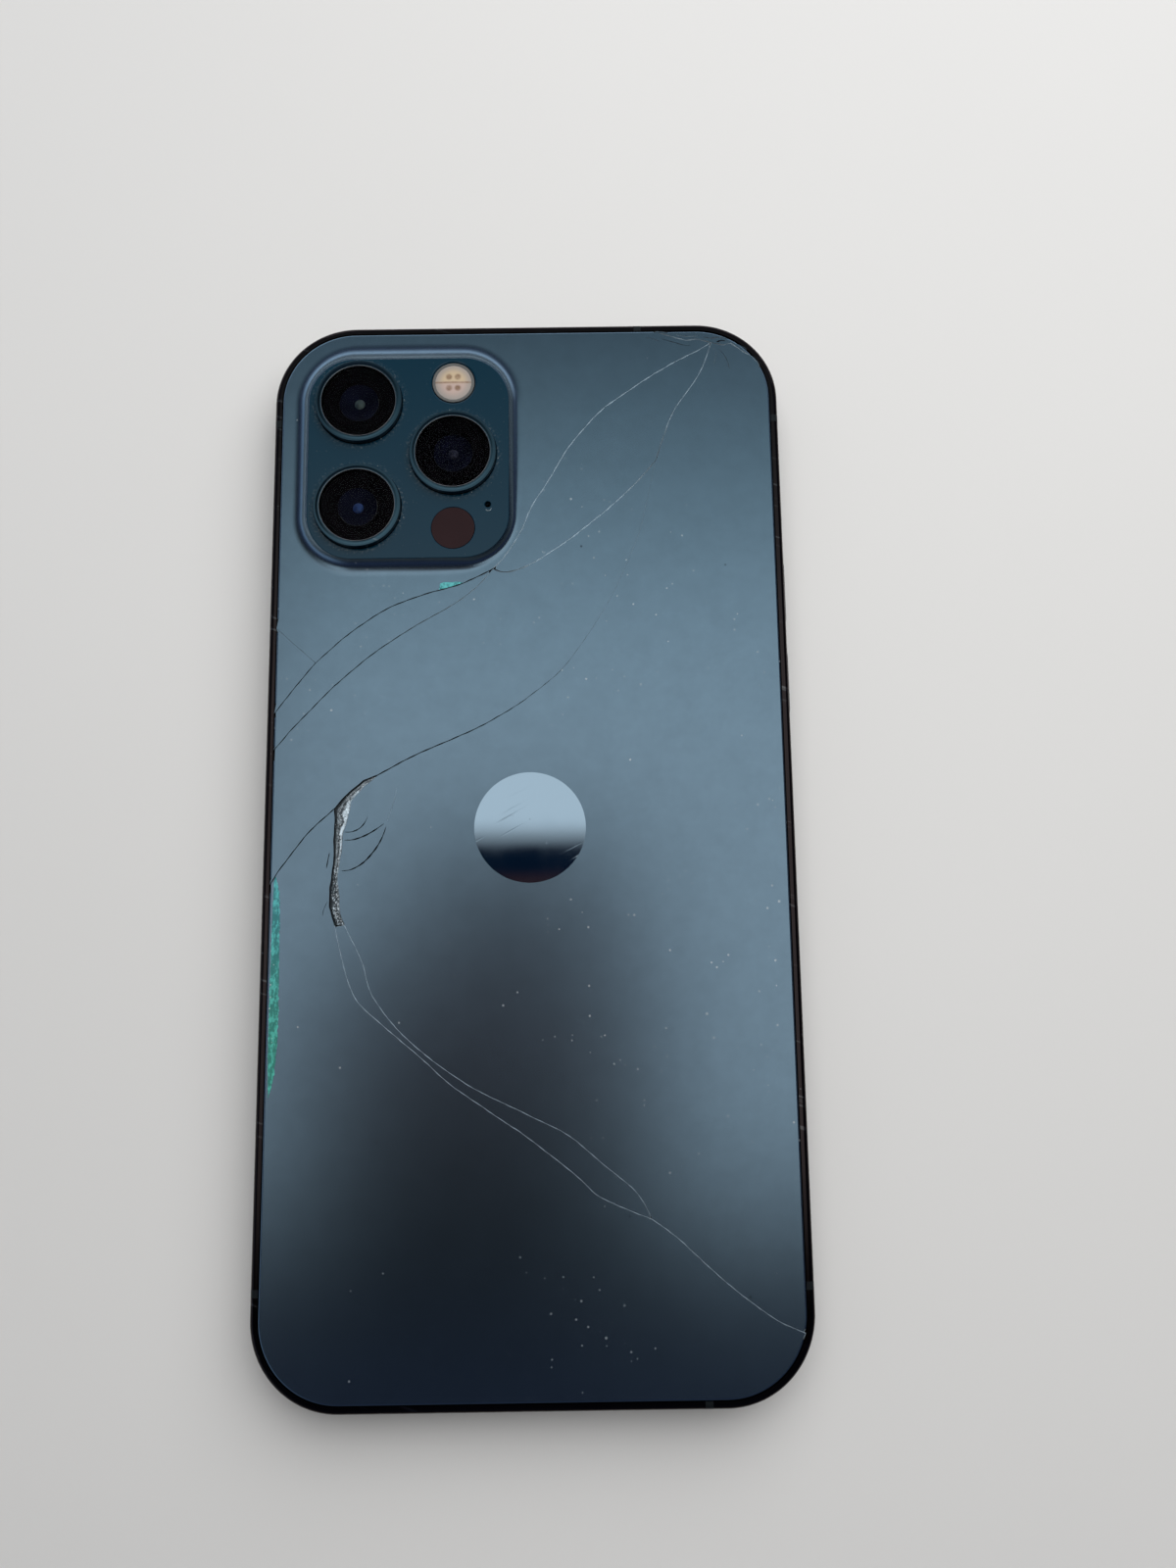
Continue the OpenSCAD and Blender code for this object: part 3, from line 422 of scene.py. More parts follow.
def specks(tree, where, scale, share, size):
    return useGroup(tree, dustGroup, Vector=where, Scale=scale, Share=share, Size=size)["Mask"]


def smudges(tree, where, scale, low, high):
    return useGroup(tree, smudgeGroup, Vector=where, Scale=scale, Low=low, High=high)["Value"]


def scratches(tree, where, scale, turn):
    return useGroup(tree, scratchGroup, Vector=where, Scale=scale, Turn=turn)["Mask"]


def newMaterial(name, colour=(0.5, 0.5, 0.5), **settings):
    # a Principled material; settings are its sockets' names with capitals in place of spaces
    material = bpy.data.materials.new(name)
    material.use_nodes = True
    tree = material.node_tree
    shader = tree.nodes["Principled BSDF"]
    shader.inputs["Base Color"].default_value = (*colour, 1)
    for key, value in settings.items():
        spaced = key if key.isupper() else "".join(" " + c if c.isupper() else c for c in key).strip()
        shader.inputs[spaced].default_value = value
    where = place(tree, "TexCoord").outputs["Object"]
    return material, tree, shader.inputs, where


def tinted(tree, sockets, factor, first, second):
    # the piece's colour, from first to second
    feed(tree, sockets["Base Color"], blendColour(tree, factor, first, second))


def bumped(tree, sockets, height, strength, distance):
    node = place(tree, "Bump")
    node.inputs["Strength"].default_value = strength
    node.inputs["Distance"].default_value = distance
    feed(tree, node.inputs["Height"], height)
    feed(tree, sockets["Normal"], node.outputs[0])


satin = {
    "colour": (0.186, 0.268, 0.334),    # of the etched blue back
    "roughness": (0.232, 0.244),
    "dust": (0.42, 0.47, 0.50),
    "pits": (0.02, 0.03, 0.04),
}


def makeSatinGlass():
    material, tree, sockets, where = newMaterial("satinGlass", Metallic=1.0)
    low, high = satin["roughness"]
    rough = smudges(tree, where, 28.0, low=low, high=high)
    feed(tree, sockets["Roughness"], rough)
    dust = specks(tree, where, 520.0, share=0.16, size=0.085)
    lint = specks(tree, where, 1300.0, share=0.14, size=0.22)
    pits = specks(tree, where, 400.0, share=0.10, size=0.07)
    drift = between(tree, noise(tree, where, 30.0, 2.0), 0.48, 0.66)
    pale = plus(tree, dust, times(tree, lint, drift), clamp=True)
    tint = blendColour(tree, noise(tree, where, 260.0, 6.0, 0.75), [c * 0.86 for c in satin["colour"]],
                       [c * 1.14 for c in satin["colour"]])
    pitted = blendColour(tree, times(tree, pits, 0.65), tint, satin["pits"])
    tinted(tree, sockets, times(tree, pale, 0.8), pitted, satin["dust"])
    # dust scatters light, where the clean glass mirrors it
    feed(tree, sockets["Metallic"], scaled(tree, pale, -0.3, 1.0))
    bumped(tree, sockets, noise(tree, where, 9000.0, 2.0), 0.05, 0.00001)
    return material


polished = {
    "clean": (0.0015, 0.023, 0.043),
    "grime": (0.16, 0.19, 0.20),
    "ring": (7.2, 6.2),                 # radii round a lens between which the grime thickens
}


def makePolishedGlass():
    material, tree, sockets, where = newMaterial("polishedGlass", Roughness=0.04, IOR=1.42)
    grime = specks(tree, where, 2200.0, share=0.25, size=0.20)
    x, y, _ = axesOf(tree, where)
    # grime lies in a ring round each lens, thinning outwards
    first, second, third = (
        between(tree, fromCentre(tree, minus(tree, x, centre[0] * mm), minus(tree, y, centre[1] * mm)),
                *(r * mm for r in polished["ring"])) for centre in lensPlaces)
    dirt = larger(tree, larger(tree, first, second), third)
    patchy = between(tree, noise(tree, where, 2600.0, 4.0, 0.7), 0.50, 0.66)
    haze = times(tree, times(tree, dirt, patchy), 0.30)
    pale = times(tree, grime, scaled(tree, dirt, 0.75, 0.10))
    total = larger(tree, haze, pale)
    tinted(tree, sockets, total, polished["clean"], polished["grime"])
    rough = smudges(tree, where, 60.0, low=0.03, high=0.07)
    feed(tree, sockets["Roughness"], plus(tree, rough, times(tree, total, 0.4), clamp=True))
    return material


# crack colours: near black, a painted shade in an open gap, and pale, frosted faces with a painted glint
crackShadeAndGlint = {"open": (0.004, 0.005, 0.007), "frostedAndGlint": (0.58, 0.74, 0.86)}


def makeFracture():
    # broken glass, coloured by its tone: near black where the crack stands open, a painted shade in the gap,
    # and pale where its faces are frosted, with a painted glint off them
    material, tree, sockets, where = newMaterial("brokenEdge", Roughness=0.45, IOR=1.5)
    tone = place(tree, "Attribute", attribute_name="tone").outputs["Fac"]
    patchy = scaled(tree, noise(tree, where, 700.0, 2.0), 0.7, -0.35)
    shade = plus(tree, tone, times(tree, patchy, tone), clamp=True)
    tinted(tree, sockets, shade, crackShadeAndGlint["open"], crackShadeAndGlint["frostedAndGlint"])
    return material


def makeMirrorMark():
    material, tree, sockets, where = newMaterial("mirrorMark", (0.365, 0.480, 0.570), Metallic=1.0)
    rough = smudges(tree, where, 90.0, low=0.03, high=0.07)
    marks = scratches(tree, where, 2200.0, turn=-0.5)
    pits = specks(tree, where, 1300.0, share=0.12, size=0.14)
    worn = larger(tree, times(tree, marks, 0.5), pits)
    feed(tree, sockets["Roughness"], scaled(tree, worn, 0.25, rough))
    bumped(tree, sockets, worn, 0.25, -0.00001)
    return material


coat = {
    "dark": ((0.022, 0.175, 0.140), (0.022, 0.170, 0.190)),     # away from the cameras, and near them
    "light": ((0.070, 0.420, 0.340), (0.080, 0.440, 0.450)),
    "flakes": (0.42, 0.58, 0.55),
}


def makePeeledCoat():
    # bare coating seen through loosened glass: fine slanting ridges, bluer towards the cameras and
    # greener away from them, with pale flakes
    material, tree, sockets, where = newMaterial("peeledCoat", Roughness=0.35, IOR=1.5)
    wave = place(tree, "TexWave", bands_direction="X")
    feed(tree, wave.inputs["Vector"], stretch(tree, where, (1, 1, 1), (0, 0, 0.45)))
    wave.inputs["Scale"].default_value = 700.0
    wave.inputs["Distortion"].default_value = 6.0
    wave.inputs["Detail Scale"].default_value = 2.5
    ridges = wave.outputs["Fac"]
    x, y, _ = axesOf(tree, where)
    along = between(tree, y, -0.030, -0.004)
    dark = blendColour(tree, along, *coat["dark"])
    light = blendColour(tree, along, *coat["light"])
    broken = between(tree, noise(tree, where, 1300.0, 4.0, 0.75), 0.40, 0.58)
    strokes = noise(tree, stretch(tree, where, (1, 0.3, 1), (0, 0, 0.5)), 2500.0, 3.0, 0.7)
    streaky = times(tree, scaled(tree, ridges, 0.45, 0.55), between(tree, strokes, 0.38, 0.58))
    mixed = scaled(tree, broken, 0.4, times(tree, streaky, 0.6))
    colour = blendColour(tree, between(tree, mixed, 0.30, 0.85), dark, light)
    flakes = specks(tree, where, 2600.0, share=0.25, size=0.28)
    # pale flakes lie thickest along the outer side
    outer = between(tree, x, -0.0334, -0.0341)
    tinted(tree, sockets, times(tree, flakes, outer), colour, coat["flakes"])
    bumped(tree, sockets, streaky, 0.4, 0.00003)
    return material


crumbShadeAndHighlight = {"dark": (0.006, 0.011, 0.014), "frostedAndGlint": (0.62, 0.74, 0.82)}


def makeCrushed():
    material, tree, sockets, where = newMaterial("crushedGlass", Roughness=0.38, IOR=1.5)
    distance, first, _ = cellsOf(tree, where, 4200.0)
    # the tone says how light the bed is coloured: dark with painted shade along its sunken left side, pale
    # with a painted highlight along its right; each splinter differs a little from it
    tone = place(tree, "Attribute", attribute_name="tone").outputs["Fac"]
    light = times(tree, tone, scaled(tree, first, 0.8, 0.6), clamp=True)
    tinted(tree, sockets, light, crumbShadeAndHighlight["dark"], crumbShadeAndHighlight["frostedAndGlint"])
    bumped(tree, sockets, distance, 0.7, 0.00005)
    return material


def makeCrumb():
    material, tree, sockets, where = newMaterial("glassCrumb", Roughness=0.2, IOR=1.5)
    shade = between(tree, noise(tree, where, 2600.0, 1.0), 0.35, 0.65)
    tinted(tree, sockets, shade, (0.03, 0.04, 0.045), (0.70, 0.76, 0.80))
    return material


bareSteel = (0.62, 0.62, 0.62)


def makeSteel(name, colour, rough, wear):
    # coated polished steel, with fine rubbing marks and bare specks where the coating has gone
    material, tree, sockets, where = newMaterial(name, colour, Metallic=1.0)
    marks = scratches(tree, where, 1800.0, turn=0.35)
    bare = specks(tree, where, 2600.0, share=wear, size=0.16)
    worn = larger(tree, times(tree, marks, 0.15), bare)
    tinted(tree, sockets, worn, colour, bareSteel)
    smudged = smudges(tree, where, 70.0, low=rough, high=rough + 0.08)
    feed(tree, sockets["Roughness"], plus(tree, smudged, times(tree, marks, 0.12)))
    return material


def makePlain(name, colour, rough, metallic=0.0, scale=300.0, depth=0.15, grainy=True, **settings):
    # a moulded or sheet finish: a slight change of colour and roughness, and a fine grain where
    # the piece isn't polished
    material, tree, sockets, where = newMaterial(name, colour, Metallic=metallic, **settings)
    grain = noise(tree, where, scale, 3.0)
    darker = [c * (1 - depth) for c in colour]
    lighter = [min(1, c * (1 + depth)) for c in colour]
    tinted(tree, sockets, grain, darker, lighter)
    feed(tree, sockets["Roughness"], scaled(tree, grain, 0.1, rough))
    if grainy:
        bumped(tree, sockets, noise(tree, where, scale * 8, 2.0), 0.08, 0.00002)
    return material


def makeClearGlass(name, rough=0.0, colour=(1, 1, 1), bend=1.1):
    # bend is its refractive index: near 1 it stands for a glass with a coating against reflections
    material, tree, sockets, where = newMaterial(name, colour, Roughness=rough, IOR=bend,
                                                 TransmissionWeight=1.0)
    rough = smudges(tree, where, 200.0, low=rough, high=rough + 0.03)
    feed(tree, sockets["Roughness"], rough)
    return material


switchFilm = {
    "amber": ((0.38, 0.19, 0.05), (0.52, 0.25, 0.07)),
    "pad": (0.016, 0.016, 0.018),
    "shownWhenSet": (0.76, 0.20, 0.025),
    "padDepth": 3.0,                    # how far the pad's finish reaches inwards from the switch
    "padOver": 0.2,                     # and past the switch's ends
    "belowMiddle": 0.25,                # where the painted half begins
    "soft": 0.1,
}


def makeSwitchFilm():
    # amber film. Behind the mute switch it has a black pad, whose half nearer the screen is painted
    # orange and shows only while the switch is set towards the rear glass
    material, tree, sockets, where = newMaterial("switchFilm", Roughness=0.4)
    x, y, z = axesOf(tree, where)
    low, high = boxOf("mute_switch")
    middle = boxOf("band_right_rail")[1][2] / 2
    over, soft, half = switchFilm["padOver"], switchFilm["soft"], middle - switchFilm["belowMiddle"]
    inner = low[0] - switchFilm["padDepth"]
    outer = between(tree, x, inner * mm, (inner + soft) * mm)
    nearEnd = between(tree, y, (low[1] - over) * mm, (low[1] - over + soft) * mm)
    farEnd = between(tree, y, (high[1] + over) * mm, (high[1] + over - soft) * mm)
    pad = times(tree, outer, times(tree, nearEnd, farEnd))
    lowerHalf = between(tree, z, half * mm, (half - soft) * mm)
    grain = noise(tree, where, 900.0, 3.0)
    amber = blendColour(tree, grain, *switchFilm["amber"])
    padColour = blendColour(tree, lowerHalf, switchFilm["pad"], switchFilm["shownWhenSet"])
    tinted(tree, sockets, pad, amber, padColour)
    bumped(tree, sockets, grain, 0.1, 0.00002)
    return material


satinGlass, polishedGlass = makeSatinGlass(), makePolishedGlass()
brokenEdge, mirrorMark, peeledCoat = makeFracture(), makeMirrorMark(), makePeeledCoat()
crushedGlass, glassCrumb = makeCrushed(), makeCrumb()
# the band's dark coating is tinted brown: a painted reflection of warm surroundings
bandSteel = makeSteel("bandSteel", (0.032, 0.025, 0.025), 0.10, 0.010)
buttonSteel = makeSteel("buttonSteel", (0.032, 0.034, 0.040), 0.14, 0.008)
ringSteel = makeSteel("ringSteel", (0.050, 0.094, 0.122), 0.13, 0.006)
lipSteel = makePlain("lipSteel", (0.40, 0.40, 0.40), 0.18, 1.0, grainy=False)
coverGlass = makeClearGlass("coverGlass")
screenGlass = makePlain("screenGlass", (0.006, 0.006, 0.007), 0.04, grainy=False, IOR=1.5)
lensBlack = makePlain("lensBlack", (0.004, 0.003, 0.004), 0.45, grainy=False, IOR=1.02)
paint = {
    "break_plastic": makePlain("breakPlastic", (0.006, 0.008, 0.009), 0.35, IOR=1.3),
    "film": makePlain("colourFilm", (0.004, 0.010, 0.012), 0.3),
    "inner_steel": makePlain("innerSteel", (0.42, 0.43, 0.44), 0.32, 1.0),
    "copper": makePlain("woundCopper", (0.62, 0.28, 0.12), 0.3, 1.0),
    "magnet": makePlain("magnetMetal", (0.40, 0.40, 0.41), 0.28, 1.0),
    "camera_black": makePlain("housingBlack", (0.018, 0.018, 0.020), 0.45),
    "flash_board": makePlain("lightChip", (0.86, 0.66, 0.40), 0.5),
    "gilt_contact": makePlain("giltContact", (0.62, 0.48, 0.22), 0.3, 1.0),
    "flex_film": makeSwitchFilm(),
    "card_plastic": makePlain("cardPlastic", (0.80, 0.79, 0.75), 0.45),
    "port_plastic": makePlain("portPlastic", (0.022, 0.022, 0.024), 0.4),
    "screw_steel": makePlain("screwSteel", (0.20, 0.21, 0.23), 0.25, 1.0),
    "battery_foil": makePlain("batteryFoil", (0.03, 0.03, 0.033), 0.35),
    "adhesive": makePlain("stretchStrip", (0.75, 0.75, 0.75), 0.6),
    "board": makePlain("boardGreen", (0.02, 0.12, 0.08), 0.4),
    "display": makePlain("unlitPanel", (0.006, 0.006, 0.007), 0.12),
    "screen_glass": screenGlass,
    "band_steel": bandSteel,
    "button_steel": buttonSteel,
    "ring_steel": ringSteel,
    "sensor_glass": makePlain("sensorGlass", (0.019, 0.006, 0.007), 0.06, grainy=False, IOR=1.28),
    "flash_glass": makeClearGlass("flashGlass", 0.06, (1.0, 0.97, 0.93)),
    "lens_glass": coverGlass,
    "rear_glass": satinGlass,
    "crushed_glass": crushedGlass,
}
for part in frame["record"]["subparts"]:
    mesh = nodes[part["node"]].data
    mesh.materials.clear()
    mesh.materials.append(paint[part["material_slot"]])
print("materials made")


random = np.random.default_rng(11)
rimLoop = roundedLoop(pane["halfWidth"], pane["halfLength"], pane["corner"])


def outsideBy(points):
    # signed distance from the pane's outline, below zero inside it
    q = np.abs(points) - [pane["halfWidth"] - pane["corner"], pane["halfLength"] - pane["corner"]]
    return (np.linalg.norm(np.maximum(q, 0), axis=1) + np.minimum(q.max(1), 0)) - pane["corner"]


def cutAtRim(line):
    # ends a line where it first leaves the pane
    out = outsideBy(line)
    if out[0] > 0:
        return cutAtRim(line[::-1])[::-1]
    if out[-1] <= 0:
        return line
    i = np.argmax(out > 0)
    share = -out[i - 1] / (out[i] - out[i - 1])
    return np.vstack([line[:i], line[i - 1] + share * (line[i] - line[i - 1])])


def crack(points, tones, widths=0.06, wobble=0.035, smooth=True):
    # a crack's line with its tone and the rounding of its edges at each point. The wobble is a sum
    # of three sine waves sideways, that dies out at both ends.
    line = cutAtRim(evenly(smoothLine(points) if smooth else np.asarray(points, float), 0.12))
    line = evenly(line, pane["step"])
    s = np.linspace(0, 1, len(line))
    length = len(line) * pane["step"]
    waves = sum(np.sin(2 * np.pi * s * length / period + random.uniform(0, 6)) * share
                for period, share in ((7.3, 0.5), (2.9, 0.3), (1.3, 0.2)))
    waves *= wobble * np.minimum(1, np.minimum(s, 1 - s) * length / 2)
    line = line + sideways(line) * waves[:, None]
    tone, width = (np.interp(s, np.linspace(0, 1, len(given)), given)
                   for given in (np.atleast_1d(tones), np.atleast_1d(widths)))
    uneven = 1 + 0.35 * np.sin(2 * np.pi * s * length / 2.1 + random.uniform(0, 6))
    return {"line": line, "tone": tone, "width": width * uneven}


def turned(path):
    return {key: value[::-1] for key, value in path.items()}


# The routes were chosen, and are those of the CAD pieces
impact = [26.6, 70.4]
fork = [18.3, 52.6]
knot = [-4.8, 36.8]
edgeMeeting = [-29.2, 23.6]
stripTop = [-20.5, 7.8]
stripLeft = [-26.2, 3.3]
stripEndLeft = [-25.9, -12.3]
stripEndRight = [-24.6, -12.4]
lowerMeeting = [15.4, -50.4]
# the tones colour each crack's edges: near 0 dark, a painted shade in its gap, and up to about 0.7 pale, a
# painted glint off its faces
route = {
    "upper": crack([impact, [24.5, 69.1], [20, 66.7], [15, 63.4], [10.5, 60], [6.2, 55], [3.2, 50],
                    [2.4, 48.6], [0.6, 45.8], [-1, 42], [-3.2, 38.6], knot],
                   (0.50, 0.66, 0.62, 0.68, 0.5), 0.042),
    "fork": crack([impact, [24.8, 65.7], [21, 60], [19.2, 55.5], fork], (0.50, 0.58, 0.52, 0.2), 0.038),
    "forkToKnot": crack([fork, [14.2, 48], [8, 42.6], [2, 38.3], [-1.5, 36.6], [-3.4, 36.3], knot],
                        (0.2, 0.66, 0.72, 0.68, 0.05), (0.040, 0.042, 0.044, 0.06)),
    "long": crack([fork, [17.3, 48.5], [15.7, 42], [12.8, 35], [10, 29.8], [5, 22.7], [0, 18.4],
                   [-5, 15.2], [-10, 12.8], [-15, 10.7], stripTop],
                  (0.3, 0.35, 0.38, 0.2, 0.0, 0.0, 0.0), (0.006, 0.008, 0.010, 0.02, 0.045, 0.055)),
    "knotToEdge": crack([knot, [-6.5, 35.9], [-10, 34.4], [-15, 33], [-20, 30.9], [-25, 27.4], edgeMeeting],
                        (0.05, 0.0, 0.0), (0.06, 0.045, 0.03)),
    "edgeMeetingOut": crack([edgeMeeting, [-31, 21.4], [-34.4, 16.9], [-36, 14.8]], 0.0, 0.035),
    "edge": crack([[-37, 30.4], [-34.5, 28.4], [-31, 25.2], edgeMeeting], (0.1, 0.15), 0.012),
    "secondToEdge": crack([knot, [-7, 34.3], [-10, 31.9], [-15, 29], [-20.5, 25.4], [-26, 20.8],
                           [-31.5, 15.1], [-34.5, 11.6], [-37, 9]],
                          (0.45, 0.2, 0.0, 0.0, 0.0), 0.036),
    "longOut": crack([stripLeft, [-29.7, 0], [-33.2, -4.6], [-34.6, -6.8], [-37, -10]], 0.0, 0.045),
    "upperLoop": crack([stripEndRight, [-22.2, -17.3], [-20.6, -22], [-16, -27.5], [-9.5, -32.5],
                        [-5, -35], [0, -37.4], [5, -40], [9.3, -43.6], [13.3, -46.9], lowerMeeting],
                       (0.62, 0.60, 0.54, 0.50, 0.42), 0.030),
    "lowerLoop": crack([stripEndLeft, [-25.2, -15.5], [-23.3, -21.5], [-20, -25], [-15, -29.2],
                        [-10.5, -33.2], [-5, -37], [0, -40.4], [6, -45.1], [9, -47.7], lowerMeeting],
                       (0.60, 0.58, 0.54, 0.52, 0.48), 0.030),
    "lower": crack([lowerMeeting, [19, -53.1], [24, -57.7], [30, -62.3], [34.5, -64.5], [38, -66]],
                   (0.52, 0.50, 0.46), 0.032),
    "chipLeft": crack([[17.5, 75], [19.2, 72], [21, 71.4], [23, 70.8], [24.5, 71], impact],
                      (0.1, 0.35, 0.1), 0.07, 0.02, False),
    "chipRight": crack([impact, [28.3, 70], [29.4, 70.3], [31.1, 69], [32.4, 68.2], [33.4, 67], [37, 66.2]],
                       (0.05, 0.35, 0.2), 0.07, 0.02, False),
    "stripUpper": crack([stripTop, [-22.3, 7.1], [-23.4, 6.2], [-24.9, 4.9], stripLeft], 0.0, 0.05, 0.02,
                        False),
    "stripLeftSide": crack([stripLeft, [-26.1, 1.5], [-26.2, -1], [-26.1, -3], [-26.3, -5], [-26.6, -7.5],
                            [-26.6, -10], stripEndLeft], 0.0, 0.06, 0.03, False),
    "stripRightSide": crack([stripTop, [-22.4, 6.2], [-23.5, 5], [-24.1, 4.2], [-24.2, 3], [-24.7, 1],
                             [-25.1, 0], [-25.2, -2], [-25.5, -4.6], [-25.7, -6.2], [-25.4, -8.5],
                             [-25.3, -10.8], stripEndRight], (0.0, 0.5, 0.1, 0.6, 0.1), 0.06, 0.03, False),
}


def rimPath(start, end, clockwise):
    # the pane's outline from one point on it to another
    loop = rimLoop[::-1] if clockwise else rimLoop
    first = np.argmin(np.linalg.norm(loop - start, axis=1))
    loop = np.roll(loop, -first, 0)
    last = np.argmin(np.linalg.norm(loop - end, axis=1))
    line = loop[1:last]
    line = line[(np.linalg.norm(line - start, axis=1) > 0.4) & (np.linalg.norm(line - end, axis=1) > 0.4)]
    rounding = np.full(len(line), pane["rimRounding"])
    return {"line": line, "tone": np.full(len(line), -1.0), "width": rounding}


def shardOutline(parts, close=None):
    # joins crack lines end to end, and closes them along the rim, into one anticlockwise loop
    if close:
        parts = parts + [rimPath(parts[-1]["line"][-1], parts[0]["line"][0], close == "clockwise")]
    kept = [(part, slice(None, -1) if part["tone"][0] >= 0 else slice(None)) for part in parts]
    joined = {key: np.concatenate([part[key][points] for part, points in kept])
              for key in ("line", "tone", "width")}
    if close:      # the last crack's end is on the rim, and is kept
        at = sum(len(part["line"]) - 1 for part in parts[:-1])
        for key in joined:
            joined[key] = np.insert(joined[key], at, parts[-2][key][-1], axis=0)
    keep = np.linalg.norm(joined["line"] - np.roll(joined["line"], 1, 0), axis=1) > 0.02
    joined = {key: value[keep] for key, value in joined.items()}
    return joined if areaOf(joined["line"]) > 0 else {key: value[::-1] for key, value in joined.items()}


def hairline(points, width=0.09, depth=0.05, tone=0.0):
    # a shallow groove that runs out at both ends: as wide at s as the width times the root of sin(pi s)
    line = evenly(smoothLine(points), 0.25)
    s = np.linspace(0, 1, len(line))
    half = width / 2 * np.sqrt(np.sin(np.pi * s).clip(0)) * (1 + 0.3 * np.sin(9 * s * len(line) / 8))
    offset = sideways(line) * half[:, None]
    return {"line": line, "left": line + offset, "right": line - offset, "deep": depth * half / width * 2,
            "tone": tone}


# the slopes take the crack colours by the groove's tone: near black, a painted shade in the groove, or pale,
# a painted glint
def cutHairline(shell, groove, top):
    # returns the groove's loop for the level face, and adds its two slopes
    line, left, right = groove["line"], groove["left"], groove["right"]
    level = np.full(len(line), top)
    floor = np.column_stack([line, level - groove["deep"]])
    for row, up in ((left, False), (right, True)):
        edge = np.column_stack([row, level])
        shell.wall([floor, edge] if up else [edge, floor], 1, groove["tone"], closed=False)
    return np.vstack([right, left[-2:0:-1]])


def insetLoop(outline, distance):
    # moves each point of an anticlockwise loop inwards, along the mean normal of its two sides
    return outline + sideways(outline, True) * np.broadcast_to(distance, len(outline))[:, None]


def buildShard(outline, top, grooves=(), holes=(), marks=(), kindAt=None, rows=5):
    # a flat piece of glass: an underside, a wall, and an edge rounded by a quarter circle up to the
    # level top, which is inset by the rounding's width
    shell = Shell()
    isCrack = outline["tone"] >= 0
    width = outline["width"]
    # a crack toned pale, whose colour is frost with a painted glint, or a very fine one, hardly stands open
    openness = np.clip(1.45 - 1.9 * outline["tone"], 0.2, 1.35) * np.clip(width / 0.03, 0.2, 1)
    gap = np.where(isCrack, pane["crackGap"] / 2 * openness, 0.0)
    kind = (isCrack | np.roll(isCrack, -1)).astype(int)
    tone = outline["tone"].clip(0)
    wallRows = [np.column_stack([insetLoop(outline["line"], gap), np.full(len(gap), pane["under"])])]
    for angle in np.linspace(0, np.pi / 2, rows):
        moved = insetLoop(outline["line"], gap + width * (1 - np.cos(angle)))
        wallRows.append(np.column_stack([moved, top - width * (1 - np.sin(angle))]))
    shell.wall(wallRows, kind, tone)
    edge = wallRows[-1][:, :2]
    loops = [cutHairline(shell, groove, top) for groove in grooves]
    shell.flat([edge] + loops + list(holes), top, kindAt=kindAt, marks=marks)
    shell.flat([wallRows[0][:, :2]], pane["under"], up=False)
    return shell, edge


glassMaterials = [satinGlass, brokenEdge, mirrorMark, peeledCoat, polishedGlass]


def snapMark(edge, points):
    # a mark whose two ends lie on points of the shard's own edge
    ends = [edge[np.argmin(np.linalg.norm(edge - p, axis=1))] for p in (points[0], points[-1])]
    return np.vstack([ends[0], points[1:-1], ends[1]])


def blunt(path, start=0, end=0):
    # leaves out a few points at a crack's ends, where a sliver would be thinner than the gap
    stop = len(path["line"]) - end
    return {key: value[start:stop] for key, value in path.items()}


mark = {"centre": (0.1, 0.4), "radius": 7.5}        # the plain polished disc on the back
peel = {                                            # the loosened strip at the left side
    "inner": [(-34.05, -5.0), (-33.75, -6.2), (-33.35, -7.8), (-33.25, -9.6), (-33.15, -11.6),
              (-33.2, -13.6), (-33.1, -15.6), (-33.15, -17.6), (-33.05, -19.6), (-33.1, -21.6),
              (-33.0, -23.8), (-33.1, -26.0), (-33.1, -28.2), (-33.3, -30.0), (-33.35, -31.6),
              (-33.7, -33.2), (-34.1, -34.6)],
    "outer": [(-34.05, -5.0), (-34.12, -8.0), (-34.22, -12.0), (-34.26, -18.0), (-34.30, -24.0),
              (-34.28, -30.0), (-34.1, -34.6)],
}
hairlines = {
    "right": [hairline([(-24.9, 0.1), (-23.9, 0.1), (-22.9, 0.5), (-22.2, 1.2), (-21.7, 2.2)], 0.14, 0.09),
              hairline([(-24.9, -1.0), (-23.6, -0.95), (-22.0, -0.4), (-20.6, 0.4), (-19.5, 1.2)], 0.18,
                       0.11),
              hairline([(-25.2, -5.15), (-23.9, -5.0), (-22.4, -4.2), (-21.2, -3.0), (-20.2, -1.6),
                        (-19.55, -0.2), (-19.2, 0.9)], 0.19, 0.11),
              hairline([(-19.1, 1.4), (-18.7, 2.6), (-18.2, 4.3), (-17.9, 6.0)], 0.05, tone=0.7),
              hairline([(27.6, 69.4), (28.3, 68.6), (28.9, 67.3), (29.1, 66.2)], 0.08, tone=0.1),
              hairline([(27.2, 69.2), (27.2, 68.1), (26.8, 66.9)], 0.05, tone=0.3)],
    "lower": [hairline([(-26.75, -2.6), (-26.95, -3.6), (-27.15, -4.9)], 0.13, 0.08),
              hairline([(-26.9, -9.2), (-27.4, -10.3), (-27.5, -11.2)], 0.07)],
    "camera": [hairline([(19.4, 71.1), (20.9, 70.6), (22.4, 70.1), (23.6, 69.9)], 0.10, tone=0.05),
               hairline([(17.2, 71.3), (18.4, 71.0), (19.3, 70.6)], 0.07, tone=0.2)],
    "chip": [hairline([(21.5, 71.7), (23.2, 71.45), (24.9, 71.5)], 0.10, tone=0.3),
             hairline([(25.4, 71.35), (26.6, 71.1), (27.8, 71.25), (29.1, 70.95)], 0.14, tone=0.1),
             hairline([(27.3, 70.45), (28.1, 70.75), (28.7, 70.6)], 0.22, 0.09),
             hairline([(30.2, 70.2), (31.3, 69.6), (32.2, 69.0)], 0.10, tone=0.25)],
}


